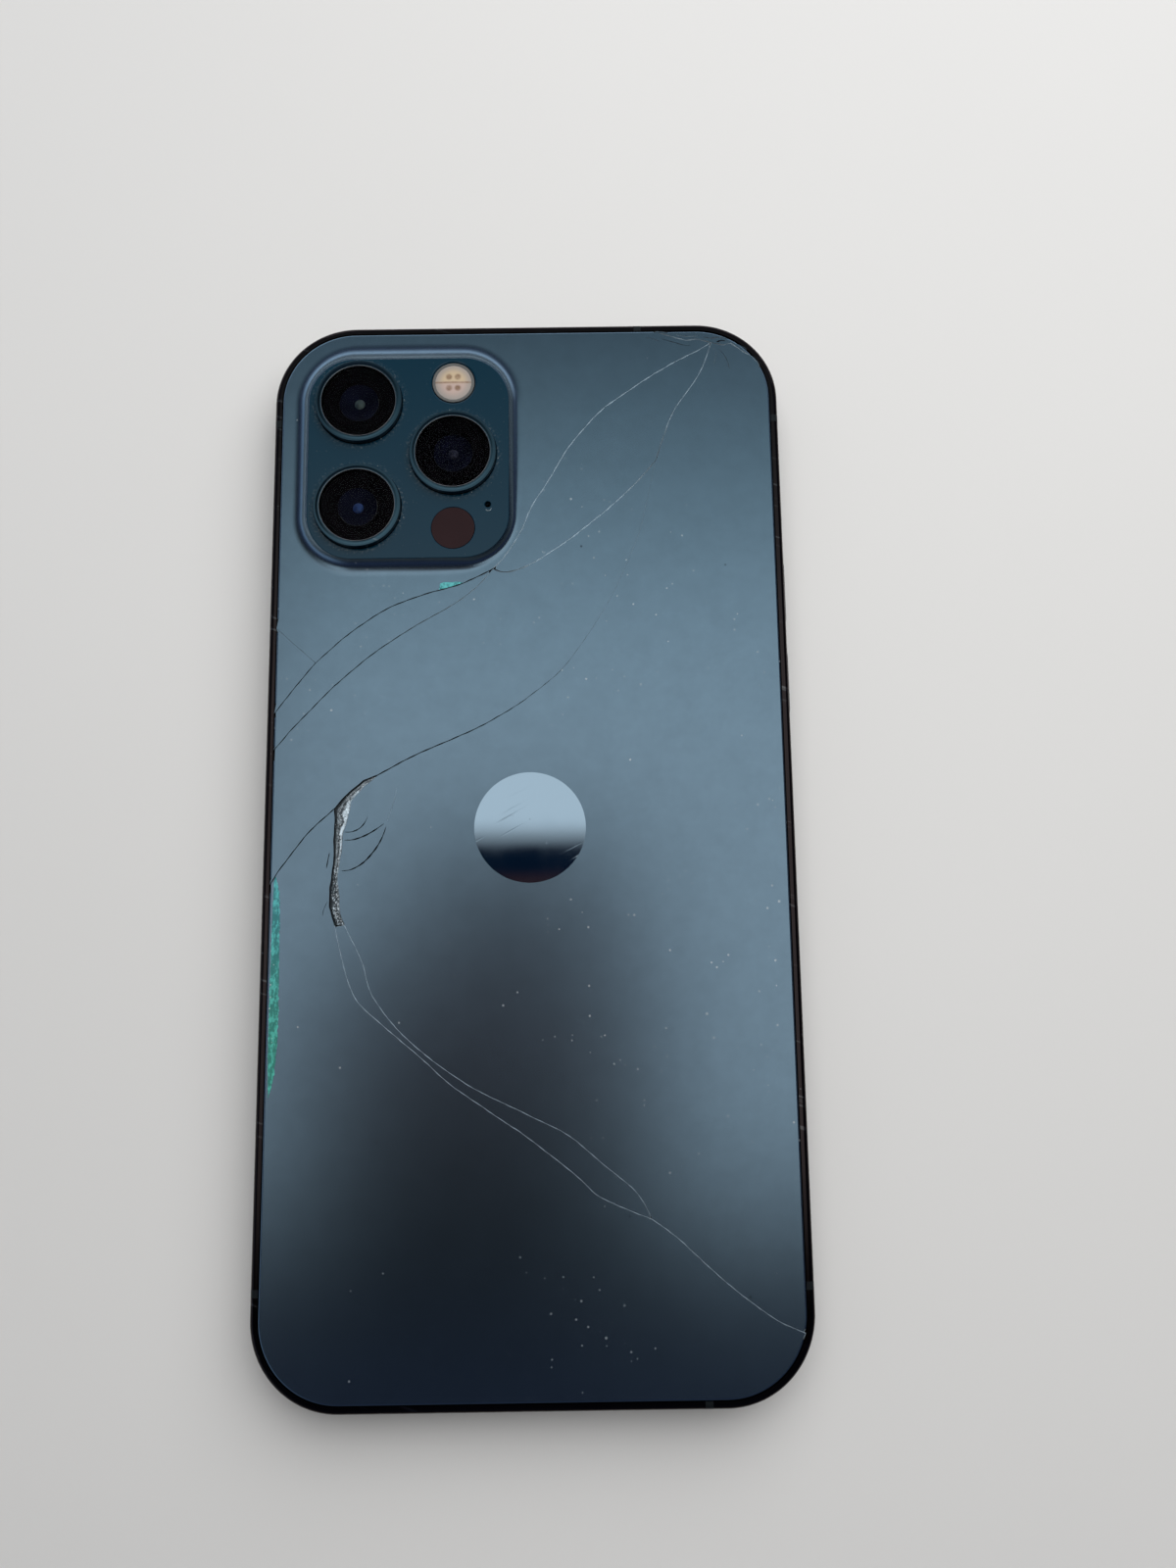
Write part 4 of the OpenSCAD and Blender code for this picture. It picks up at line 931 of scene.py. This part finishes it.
def rimBetween(first, second):
    # the rim from the outer end of one crack, anticlockwise, to that of another
    return rimPath(route[first]["line"][-1], route[second]["line"][-1], False)


def kindIn(region, kind):
    # gives the faces inside a loop a material number of their own
    return lambda middles: kind * insideLoops(middles, [region]).astype(int)


def makeShard(name, node, parts, close=None, top=pane["top"], grooves=(), region=None, kind=0):
    # region is a loop on the level top, with a finish of its own
    marks = () if region is None else [np.vstack([region, region[:1]])]
    kindAt = None if region is None else kindIn(region, kind)
    shell, _ = buildShard(shardOutline(parts, close), top, grooves, marks=marks, kindAt=kindAt)
    shell.piece(name, glassMaterials, "rear_glass", [node])


makeShard("edgeSliver", "rear_glass_edge_sliver", [route["edge"], route["edgeMeetingOut"]], "clockwise")
makeShard("upperSliver", "rear_glass_upper_sliver",
          [blunt(route["upper"], 1, 1), blunt(turned(route["forkToKnot"]), 1, 0),
           blunt(turned(route["fork"]), 0, 1)])
makeShard("leftWedge", "rear_glass_left_wedge",
          [blunt(route["knotToEdge"], 2), route["edgeMeetingOut"],
           rimBetween("edgeMeetingOut", "secondToEdge"), blunt(turned(route["secondToEdge"]), 0, 2)])
makeShard("middleShard", "rear_glass_middle_shard",
          [route["forkToKnot"], route["secondToEdge"], rimBetween("secondToEdge", "longOut"),
           turned(route["longOut"]), turned(route["stripUpper"]), turned(route["long"])])
makeShard("rightShard", "rear_glass_right_shard",
          [route["fork"], route["long"], route["stripRightSide"], route["upperLoop"], route["lower"],
           rimBetween("lower", "chipRight"), turned(route["chipRight"])],
          grooves=hairlines["right"], region=circleLoop(mark["centre"], mark["radius"], 128), kind=2)

inner, outer = (evenly(np.array(peel[side]), 0.22) for side in ("inner", "outer"))
for side, jag in ((inner, 0.07), (outer, 0.05)):
    side[1:-1] += random.uniform(-jag, jag, side[1:-1].shape) * [1, 0.5]
makeShard("lowerShard", "rear_glass_lower_shard",
          [route["longOut"], rimBetween("longOut", "lower"), turned(route["lower"]),
           turned(route["lowerLoop"]), turned(route["stripLeftSide"])],
          grooves=hairlines["lower"], region=np.vstack([inner, outer[-2:0:-1]]), kind=3)
makeShard("thinSliver", "rear_glass_thin_sliver",
          [blunt(route["upperLoop"], 0, 1), blunt(turned(route["lowerLoop"]), 1, 0)])
makeShard("cornerChip", "rear_glass_corner_chip", [route["chipLeft"], route["chipRight"]], "anticlockwise",
          boxOf("rear_glass_corner_chip")[1][2], hairlines["chip"])
print("flat shards made")


lens = {
    "ringTop": ringHigh[2],
    "outer": 6.1,
    "bevel": 0.12,
    "groove": (5.30, 5.54),
    "cover": 5.2,
    "coverDrop": 0.12,
    "coverThick": 0.6,
    "baffle": 3.7,
    "glass": 2.75,
    "hollowBend": 7.0,                  # radius of the hollow front glass
    "core": 0.85,
    "coreBend": 1.25,
    "root": 0.9,                        # how far the ring reaches below the plateau's face
    "grooveDepth": 0.16,
    "edge": 0.03,                       # small bevels of the groove
    "lipRadius": 0.04,
    "coverClear": 0.01,
    "coverEdge": (0.07, 0.05),          # upper and lower bevels of the cover glass
    "insideGap": 0.05,                  # round and above what lies under the cover
    "insideDepth": 1.2,
    "rings": 4,
    "ringPitch": 0.22,
    "ringStep": 0.04,
    "hollowDrop": 0.22,
    "coreDrop": 0.50,
    "domeRows": 16,
    "domeSides": 96,
}


def arc(centre, radius, first, last, count=6):
    # points (radius, height) of a profile on a quarter or other arc, angles in degrees
    a = np.radians(np.linspace(first, last, count))
    return [(centre[0] + radius * np.cos(t), centre[1] + radius * np.sin(t)) for t in a]


plateau = {
    "centre": np.array([(ringLow[0] + ringHigh[0]) / 2 + 0.35, (ringLow[1] + ringHigh[1]) / 2 - 0.45]),
    "halfWidth": 14.1,                  # of the level face
    "halfLength": 14.88,
    "corner": 6.4,
    "top": plateauHigh[2],
    "reach": 2.5,                       # how far the sweep runs out from the face
    "power": 3.2,
    "topReach": 3.0,                    # on the side nearest the phone's top
    "topPower": 2.5,
    "edgeRadius": 0.12,
    "clear": 0.05,                      # round a ring or window
    "holeEdge": 0.07,                   # rounding of the holes' upper edges
    "flashEdge": 0.26,
    "microphoneHole": 0.45,
    "windowRadius": 3.0,
    "holeDepth": 0.2,                   # of the holes' walls, below the pane's own surface
    "crackClear": 0.1,                  # between the sweep and a crack
    "evenOver": 8,                      # points on each side over which the sweep's reach is evened out
    "sweepRows": 16,
    "edgeRows": 7,
}
wedge = {                               # the peeled coat under the plateau, where a corner has lifted
    "edge": [(-12.2, 34.05), (-12.15, 34.75), (-11.6, 34.95), (-10.6, 34.9), (-9.7, 35.0), (-9.1, 34.85),
             (-8.8, 34.7)],
    "tip": (-10.5, 33.4),
}


def buildCameraShard():
    # the flat piece and the plateau are one glass. Outwards from the face, the sweep's height falls
    # as (1 - distance / reach) to a power, and a small round edge joins it to the face. The sweep
    # is wider and gentler on the top side, and shorter where a crack passes near.
    outline = shardOutline([route["chipLeft"], route["upper"], route["knotToEdge"], turned(route["edge"])],
                           "clockwise")
    face = roundedLoop(plateau["halfWidth"], plateau["halfLength"], plateau["corner"], 32, 0.5)
    face += plateau["centre"]
    # 1 where the face's rim looks to +Y, falling to 0 along the sides
    topSide = (-sideways(face, True)[:, 1]).clip(0) ** 2
    reach = plateau["reach"] + (plateau["topReach"] - plateau["reach"]) * topSide
    power = plateau["power"] + (plateau["topPower"] - plateau["power"]) * topSide
    toCrack = np.linalg.norm(face[:, None] - outline["line"][None], axis=2).min(1)
    room = np.minimum(toCrack - plateau["crackClear"], reach)
    around = np.arange(-plateau["evenOver"], plateau["evenOver"] + 1)
    room = np.array([np.roll(room, k) for k in around]).min(0)
    room = np.array([np.roll(room, k) for k in around]).mean(0)
    height, small = plateau["top"] - pane["top"], plateau["edgeRadius"]
    steep = np.arctan(power * height / room)
    rows = []
    for share in np.linspace(1, 0, plateau["sweepRows"]):
        level = pane["top"] + (height - small * (1 - np.cos(steep))) * (1 - share) ** power
        rows.append(np.column_stack([insetLoop(face, -room * share), level]))
    for turn in np.linspace(1, 0, plateau["edgeRows"])[1:]:
        inwards = insetLoop(face, small * (np.sin(steep) - np.sin(steep * turn)))
        rows.append(np.column_stack([inwards, plateau["top"] - small * (1 - np.cos(steep * turn))]))
    # the lifted corner's outline starts and ends on the shard's own edge
    wedgeMark = snapMark(buildShard(outline, pane["top"])[1], np.array(wedge["edge"]))
    peeled = kindIn(np.vstack([wedgeMark, [wedge["tip"]]]), 3)
    shell, _ = buildShard(outline, pane["top"], hairlines["camera"], [rows[0][:, :2]], [wedgeMark], peeled)
    shell.wall(rows[:plateau["sweepRows"]], 0)
    shell.wall(rows[plateau["sweepRows"] - 1:], 4)
    clear, edge = plateau["clear"], plateau["holeEdge"]
    window = plateau["windowRadius"] + clear
    holes = [(p, lens["outer"] + clear, edge, 96) for p in lensPlaces]
    holes += [(flashPlace, window, plateau["flashEdge"], 72), (sensorPlace, window, edge, 72),
              (microphonePlace, plateau["microphoneHole"], edge, 32)]
    openings = []
    for centre, radius, edge, count in holes:
        profile = [(radius, pane["top"] - plateau["holeDepth"])]
        profile += arc((radius + edge, plateau["top"] - edge), edge, 180, 90, 5)
        loops = [np.column_stack([circleLoop(centre, r, count), np.full(count, z)]) for r,
                 z in profile[::-1]]
        shell.wall(loops, 4)
        openings.append(loops[0][:, :2])
    shell.flat([rows[-1][:, :2]] + openings, plateau["top"], kind=4)
    return shell.piece("cameraShard", glassMaterials, "rear_glass", ["rear_glass_camera_shard"])


buildCameraShard()
print("camera shard made")


crushed = {
    "across": 18,                       # points from side to side
    "along": 0.13,                      # spacing of points along the strip
    "sunk": 0.2,                        # the bed's mean level below the glass
    "broad": 0.05,                      # height of its broad and its fine waves
    "fine": 0.035,
    "openSide": 0.20,                   # extra depth along the left side
    "low": 0.32,
    "high": 0.06,
    "crumbs": 260,
    "crumbSize": (0.06, 0.22),
}


def buildCrushedStrip():
    # a rough bed between the strip's two jagged sides: the height at each point is the bed's level
    # plus broad and fine random waves, lowest along the left side, where the strip looks open
    left = np.vstack([route["stripUpper"]["line"], route["stripLeftSide"]["line"][1:]])
    right = route["stripRightSide"]["line"]
    count = int(np.linalg.norm(np.diff(left, axis=0), axis=1).sum() / crushed["along"])
    share = np.linspace(0, 1, count)

    a, b = (spread(line, share) for line in (left, right))
    across = np.linspace(0, 1, crushed["across"])[None]
    plan = a[:, None] * (1 - across[..., None]) + b[:, None] * across[..., None]
    coarse = random.normal(size=(count // 5 + 2, 4))
    grid = np.stack([np.interp(np.arange(count) / 5, np.arange(len(coarse)),
                               column) for column in coarse.T], 1)
    waves = np.stack([np.interp(across[0] * 3, np.arange(4), row) for row in grid])
    fine = random.normal(size=waves.shape)
    level = pane["top"] - crushed["sunk"] + crushed["broad"] * waves + crushed["fine"] * fine
    level -= crushed["openSide"] * np.exp(-(across / 0.20) ** 2)
    level = np.clip(level, pane["top"] - crushed["low"], pane["top"] - crushed["high"])
    # tone: grey, with a dark left side, a painted shade where the bed sinks lowest, a dark seam that wanders
    # down the middle, a pale right side, a painted highlight that is brightest half way down, and a darker
    # lower third with bright grains
    down = share[:, None]
    turns = random.uniform(0.42, 0.72, count // 4 + 2)
    seam = np.interp(np.arange(count) / 4, np.arange(len(turns)), turns)[:, None]
    tone = 0.30 + 0.06 * waves + 0.15 * fine
    tone *= 1 - 0.92 * np.exp(-((across - seam) / 0.09) ** 2) * (down > 0.12)
    bright = 0.25 + 0.75 * np.exp(-((down - 0.42) / 0.22) ** 2)
    tone += bright * 0.75 * np.clip((across - seam - 0.08) / 0.15, 0, 1)
    tone *= np.where(down > 0.68, 0.30 + 2.4 * (fine > 1.0), 1)
    tone = (tone * np.clip((across - 0.14) / 0.1, 0.0, 1)).clip(0.0, 1)
    shell = Shell()
    surface = np.dstack([plan, level])
    shell.wall(surface.transpose(1, 0, 2)[::-1], 0, tone.T[::-1], closed=False)
    under = surface.copy()
    under[:, :, 2] = pane["under"]
    shell.wall(under.transpose(1, 0, 2), 0, 0.2, closed=False)
    border = np.vstack([surface[:, 0], surface[-1, 1:], surface[-2::-1, -1], surface[0, -2:0:-1]])
    base = border.copy()
    base[:, 2] = pane["under"]
    # the side walls take a near-black tone, a painted shade down the strip's sides
    shell.wall([base, border], 0, 0.02)
    shell.piece("crushedStrip", [crushedGlass], "crushed_glass", ["rear_glass_crushed_strip"])
    return surface


def buildCrumbs(surface):
    # grains of glass: each is an eight-faced stone with its corners moved at random, turned at random,
    # and sunk by a third into the bed
    count = crushed["crumbs"]
    stone = np.array([[1, 0, 0], [-1, 0, 0], [0, 1, 0], [0, -1, 0], [0, 0, 1], [0, 0, -1]], float)
    sides = np.array([[0, 2, 4], [2, 1, 4], [1, 3, 4], [3, 0, 4], [2, 0, 5], [1, 2, 5], [3, 1, 5],
                      [0, 3, 5]])
    i = random.integers(2, surface.shape[0] - 3, count)
    j = (random.beta(2.2, 1.4, count) * (surface.shape[1] - 1)).astype(int)
    spot = surface[i, j]
    size = random.uniform(*crushed["crumbSize"], count)[:, None, None] / 2
    points = stone[None] * random.uniform(0.55, 1.3, (count, 6, 1)) * size
    turn = np.linalg.qr(random.normal(size=(count, 3, 3)))[0]
    points = np.einsum("nij,nkj->nki", turn, points) * [1, 1, 0.7]
    points += spot[:, None] + [0, 0, 1] * size * 0.3
    points[:, :, 2] = points[:, :, 2].clip(None, pane["top"] + 0.02)
    shell = Shell()
    faces = (sides[None] + 6 * np.arange(count)[:, None, None]).reshape(-1, 3)
    shell.add(points.reshape(-1, 3), faces)
    item = shell.piece("glassCrumbs", [glassCrumb], "crushed_glass", sharp=5)
    work = bmesh.new()
    work.from_mesh(item.data)
    bmesh.ops.recalc_face_normals(work, faces=work.faces)
    work.to_mesh(item.data)
    work.free()


buildCrumbs(buildCrushedStrip())
print("crushed strip made")


def makeCoating(name, tint, rough):
    # a mirror as dark as a coated lens, in its coating's colour
    return makePlain(name, tint, rough, 1.0, depth=0.3, grainy=False)


hazeCoating = makeCoating("hazeCoating", (0.0045, 0.005, 0.013), 0.40)


def buildLens(name, centre, node, coverNode, tint):
    top, outer, bevel = lens["ringTop"], lens["outer"], lens["bevel"]
    low = plateau["top"] - lens["root"]
    lip, land = lens["groove"]
    edge, deep = lens["edge"], top - lens["grooveDepth"]
    ring = Shell()
    profile = [(outer, low)] + arc((outer - bevel, top - 0.04 - bevel), bevel, 0, 80)
    profile += [(outer - bevel - 0.05, top - 0.055), (land + edge, top), (land, top - edge),
                (land - 0.04, deep)]
    ring.lathe(centre, profile)
    profile = [(lip + edge, deep)] + arc((lip - 0.02, top - 0.05), lens["lipRadius"], 0, 180, 9)
    profile += [(lip - 0.09, low), (outer, low)]
    ring.lathe(centre, [(land - 0.04, deep), (lip + edge, deep)])
    ring.lathe(centre, profile, kind=1)
    ring.piece(name + "Ring", [ringSteel, lipSteel], "ring_steel", [node], sharp=50)

    coverTop = top - lens["coverDrop"]
    coverLow = coverTop - lens["coverThick"]
    r = lens["cover"] - lens["coverClear"]
    upper, lower = lens["coverEdge"]
    cover = Shell()
    cover.lathe(centre, [(0.0, coverLow), (r - lower, coverLow), (r, coverLow + lower),
                         (r, coverTop - upper), (r - upper, coverTop), (r * 0.5, coverTop), (0.0, coverTop)])
    cover.piece(name + "Cover", [coverGlass], "lens_glass", [coverNode])

    # black rings step down under the cover to a hollow with a small dome deep in its middle
    inside = Shell()
    z = coverLow - lens["insideGap"]
    wide = lens["cover"] - lens["insideGap"]
    floor, rimLevel, base = z - lens["insideDepth"], z - lens["hollowDrop"], z - 1.15
    mouth = lens["glass"] + 0.02
    steps = [(wide, floor), (wide, z), (lens["baffle"] + 0.5, z)]
    for k in range(lens["rings"]):
        radius = lens["baffle"] + 0.4 - k * lens["ringPitch"]
        level = z - 0.05 - lens["ringStep"] * k
        steps += [(radius, level), (radius - 0.16, level - 0.01)]
    steps += [(mouth, rimLevel), (mouth, floor), (wide, floor)]
    inside.lathe(centre, steps)
    inside.piece(name + "Baffle", [lensBlack], "camera_black")

    rim = np.arcsin(lens["glass"] / lens["hollowBend"])
    dish = [(lens["hollowBend"] * np.sin(a), rimLevel + lens["hollowBend"] * (np.cos(rim) - np.cos(a)))
            for a in np.linspace(rim, 0, lens["domeRows"])]
    hollow = Shell()
    hollow.lathe(centre, [(0, base), (lens["glass"], base)] + dish, lens["domeSides"])
    hollow.piece(name + "Hollow", [hazeCoating], "lens_glass")

    rim = np.arcsin(lens["core"] / lens["coreBend"])
    dome = [(lens["coreBend"] * np.sin(a), z - lens["coreDrop"] + lens["coreBend"] * (np.cos(a) - 1))
            for a in np.linspace(rim, 0, lens["domeRows"])]
    core = Shell()
    core.lathe(centre, [(0, base), (lens["core"], base)] + dome, lens["domeSides"])
    core.piece(name + "Core", [makeCoating(name + "Coating", tint, 0.28)], "lens_glass")


for name, centre, node, tint in zip(("topLens", "sideLens", "bottomLens"), lensPlaces, ringNames,
                                    ((0.085, 0.11, 0.10), (0.030, 0.030, 0.045), (0.035, 0.065, 0.17))):
    buildLens(name, centre, node, node.replace("ring", "cover"), tint)
print("lenses made")


flash = {
    "radius": 2.98,
    "border": 2.60,                     # inner radius of the frosted border
    "groove": 2.56,
    "depth": 0.7,
    "middle": [(2.50, -0.03), (2.2, 0.015), (1.4, 0.045), (0.6, 0.055), (0.0, 0.06)],
    "chips": (0.62, 0.85),              # the light chips' places from the middle, across and along
    "chipSize": (0.60, 0.22),           # where a chip's shade begins, and where it is full
    "seam": (0.22, 0.05),
}


def makeFlashDiffuser():
    # a milky disc with four light chips showing through as darker dots, and a seam between the
    # warmer upper half and the pinker lower one
    material, tree, sockets, where = newMaterial("flashDiffuser", Roughness=0.18, IOR=1.45,
                                                 SubsurfaceWeight=0.0, CoatWeight=0.4)
    x, y, _ = axesOf(tree, where)
    x = minus(tree, x, flashPlace[0] * mm)
    y = minus(tree, y, flashPlace[1] * mm)
    colour = blendColour(tree, between(tree, y, -0.0004, 0.0004), (0.50, 0.37, 0.32), (0.56, 0.43, 0.28))
    away = fromCentre(tree, x, y)
    colour = blendColour(tree, between(tree, away, 0.0012, 0.0026), colour, (0.34, 0.30, 0.27))
    aside, ahead = maths(tree, "ABSOLUTE", x), maths(tree, "ABSOLUTE", y)
    dotX, dotY = (minus(tree, v, spot * mm) for v, spot in zip((aside, ahead), flash["chips"]))
    dots = between(tree, fromCentre(tree, dotX, dotY), *(v * mm for v in flash["chipSize"]))
    seam = times(tree, between(tree, ahead, *(v * mm for v in flash["seam"])), 0.75)
    cloud = noise(tree, where, 1800.0, 3.0)
    shade = times(tree, larger(tree, dots, seam), scaled(tree, cloud, 1.2, 0.15), clamp=True)
    tinted(tree, sockets, shade, colour, (0.20, 0.11, 0.06))
    return material


def buildFlash():
    # a moulded lens: a frosted border, a fine groove, and a middle that bulges slightly
    top, radius, groove = plateau["top"], flash["radius"], (flash["groove"], plateau["top"] - 0.04)
    low = top - flash["depth"]
    disc = Shell()
    disc.lathe(flashPlace, [(radius, low), (radius, top - 0.08), (radius - 0.06, top - 0.02),
                            (flash["border"], top), groove])
    disc.lathe(flashPlace, [groove] + [(r, top + rise) for r, rise in flash["middle"]], kind=1)
    disc.lathe(flashPlace, [(0.0, low), (radius, low)])
    border = makePlain("frostedBorder", (0.11, 0.11, 0.105), 0.25, IOR=1.45)
    disc.piece("flashLens", [border, makeFlashDiffuser()], "flash_glass", ["flash_window"])


crescent = {
    "offset": (0.08, -0.62),            # of its centre from the microphone hole
    "radius": 0.40,
    "thick": 0.075,
    "turn": (195, 375),                 # degrees, from one tip to the other
    "points": 28,
    "sides": 10,
}


def buildMicrophoneCrescent():
    # a raised crescent beside the microphone hole; its pale colour is a painted highlight, on top of the
    # light that its lip catches
    bend = np.radians(np.linspace(*crescent["turn"], crescent["points"]))
    thick = crescent["thick"] * np.sin(np.linspace(0.08, np.pi - 0.08, crescent["points"]))
    x, y = microphonePlace + crescent["offset"]
    rows = []
    for a in np.linspace(0, 2 * np.pi, crescent["sides"], endpoint=False):
        r = crescent["radius"] + thick * np.cos(a)
        level = plateau["top"] + 0.01 + thick * np.sin(a) * 0.6
        rows.append(np.column_stack([x + r * np.cos(bend), y + r * np.sin(bend) * 0.85, level]))
    chip = Shell()
    chip.wall(np.array(rows + rows[:1])[::-1], closed=False)
    # the pale colour is a painted highlight
    chip.piece("microphoneHighlightCrescent", [makePlain("paintedHighlightLip", (0.16, 0.21, 0.24), 0.25, scale=2500.0,
                                            depth=0.5)], "rear_glass")


buildFlash()
buildMicrophoneCrescent()
print("flash made")


def squarePanel(name, half, height, corners, material):
    # a level square whose corners are named in order, seen from the side that it faces
    mesh = bpy.data.meshes.new(name)
    mesh.from_pydata([(x * half * mm, y * half * mm, height * mm) for x, y in corners], [], [(0, 1, 2, 3)])
    mesh.materials.append(material)
    return inScene(name, mesh)


def buildFloor():
    material, tree, sockets, where = newMaterial("paleTable", (0.74, 0.73, 0.71), Roughness=0.55)
    tone = noise(tree, where, 6.0, 3.0)
    tinted(tree, sockets, tone, (0.72, 0.71, 0.69), (0.76, 0.75, 0.735))
    floor = squarePanel("floor", 1500.0, 0.0, [(-1, -1), (1, -1), (1, 1), (-1, 1)], material)


reflector = {
    "height": 300.0,                    # of the panel overhead, seen only in reflections
    "half": 900.0,
    "bright": 1.0,
    "farTop": (1.00, 1.08, 1.20),       # colours of the glow far out, by side
    "farLeft": (0.36, 0.45, 0.56),
    "dim": (0.050, 0.064, 0.120),
}


def buildReflector():
    # one overhead panel that only shows in gloss: a bright field that ends in two legs, left and
    # right of a dark column as wide as a person, then dark ground, and an even glow far out
    material = bpy.data.materials.new("reflectorGlow")
    material.use_nodes = True
    tree = material.node_tree
    tree.nodes.clear()
    x, y, _ = axesOf(tree, place(tree, "TexCoord").outputs["Object"])

    def span(value, start, end, softStart, softEnd):
        # 1 from start to end, with a smooth rise of softStart and fall of softEnd about them
        return times(tree, between(tree, value, start - softStart, start + softStart),
                     between(tree, value, end + softEnd, end - softEnd))

    above = times(tree, span(x, -0.125, 0.190, 0.035, 0.03),
                  times(tree, between(tree, y, 0.030, 0.050), between(tree, y, 0.305, 0.085)))
    legs = times(tree, span(x, -0.170, 0.140, 0.045, 0.025), span(y, -0.090, 0.040, 0.032, 0.010))
    # the right leg is brighter, and dims downwards; the whole field is brighter low down and right
    rightLeg = scaled(tree, between(tree, y, -0.015, -0.075), -0.54, 0.27)
    legs = times(tree, legs, scaled(tree, between(tree, x, 0.03, 0.06), rightLeg, 1.0))
    boost = scaled(tree, between(tree, x, -0.06, 0.03), 0.13, 0.17)
    boost = scaled(tree, between(tree, x, 0.02, 0.07), 0.24, boost)
    boost = scaled(tree, between(tree, y, 0.15, 0.08), boost, 0.91)
    field = times(tree, larger(tree, above, legs), boost)
    # the column widens from its top down
    wide = between(tree, y, 0.030, -0.030)
    leftSide = between(tree, scaled(tree, wide, 0.046, x), -0.076, -0.030)
    rightSide = between(tree, scaled(tree, wide, -0.014, x), 0.034, 0.010)
    column = times(tree, times(tree, leftSide, rightSide), between(tree, y, 0.0425, 0.0345))
    lit = times(tree, field, minus(tree, 1.0, column))
    away = fromCentre(tree, x, y)
    far = between(tree, away, 0.38, 0.62)
    farTop = times(tree, far, between(tree, maths(tree, "DIVIDE", y, away), 0.50, 0.95))
    farLeft = times(tree, far, between(tree, maths(tree, "DIVIDE", x, away), -0.30, -0.95))
    dim = larger(tree, times(tree, between(tree, y, -0.10, -0.17), 0.55), between(tree, away, 0.20, 0.40))
    dim = times(tree, dim, scaled(tree, between(tree, away, 0.45, 0.80), -0.5, 1.0))
    # the column's own colours: nearly black with some blue, and brown further down
    lower = between(tree, y, 0.029, 0.022)
    own = blendColour(tree, lower, (0.001, 0.009, 0.024), (0.050, 0.024, 0.028))
    own = blendColour(tree, times(tree, column, between(tree, y, -0.10, -0.03)), (0, 0, 0), own)
    # the field is bluer towards its far end, and the glow beyond it is bluer still
    tint = blendColour(tree, between(tree, y, 0.26, 0.05), (0.70, 0.92, 1.0), (0.93, 0.97, 1.0))
    colour = own
    for level, hue in ((times(tree, lit, reflector["bright"]), tint), (farTop, reflector["farTop"]),
                       (farLeft, reflector["farLeft"]), (dim, reflector["dim"])):
        layer = place(tree, "Mix", data_type="RGBA", blend_type="ADD")
        layer.inputs[0].default_value = 1.0
        feed(tree, layer.inputs[6], colour)
        feed(tree, layer.inputs[7], blendColour(tree, level, (0, 0, 0), hue))
        colour = layer.outputs[2]
    glow = place(tree, "Emission")
    feed(tree, glow.inputs["Color"], colour)
    tree.links.new(glow.outputs[0], place(tree, "OutputMaterial").inputs[0])
    panel = squarePanel("reflector", reflector["half"], reflector["height"],
                        [(-1, -1), (-1, 1), (1, 1), (1, -1)], material)
    panel.visible_camera = panel.visible_diffuse = panel.visible_shadow = False


def buildLight(name, spot, size, power):
    data = bpy.data.lights.new(name, "AREA")
    data.shape = "DISK"
    data.size = size
    data.energy = power
    lamp = inScene(name, data)
    lamp.location = spot
    lamp.rotation_euler = (-Vector(spot)).to_track_quat("-Z", "Y").to_euler()
    lamp.visible_glossy = lamp.visible_transmission = False


def buildWorld():
    world = bpy.data.worlds.new("studio")
    bpy.context.scene.world = world
    world.use_nodes = True
    tree = world.node_tree
    background = tree.nodes["Background"]
    background.inputs[0].default_value = (0.95, 0.97, 1.0, 1)
    # brighter from +Y and -X, dim from the side away from the cameras
    x, y, _ = axesOf(tree, place(tree, "TexCoord").outputs["Generated"])
    lean = minus(tree, y, times(tree, x, 0.3))
    feed(tree, background.inputs[1], scaled(tree, between(tree, lean, -0.6, 0.6), 0.20, 0.09))


view = {
    "spot": (7.27, -25.23, 183.44),     # of the camera, looking down on the back, tilted by ten degrees
    "right": (0.99989, -0.01452, 0.00141),
    "up": (0.01405, 0.98435, 0.17567),
    "back": (-0.00393, -0.17563, 0.98445),
    "sensor": 36.0,
    "lens": 30.375,
    "nearest": 0.01,                    # in metres
}


def buildCamera():
    data = bpy.data.cameras.new("camera")
    data.sensor_width = view["sensor"]
    data.lens = view["lens"]
    data.clip_start = view["nearest"]
    camera = inScene("camera", data)
    turn = Matrix((view["right"], view["up"], view["back"])).transposed().to_4x4()
    camera.matrix_world = Matrix.Translation(Vector(view["spot"]) * mm) @ turn
    bpy.context.scene.camera = camera


buildFloor()
buildReflector()
buildWorld()
buildLight("keyLight", (0.13, 0.25, 0.42), 0.80, 3.5)
buildCamera()
bpy.context.scene.view_settings.view_transform = "Standard"
print("studio made")
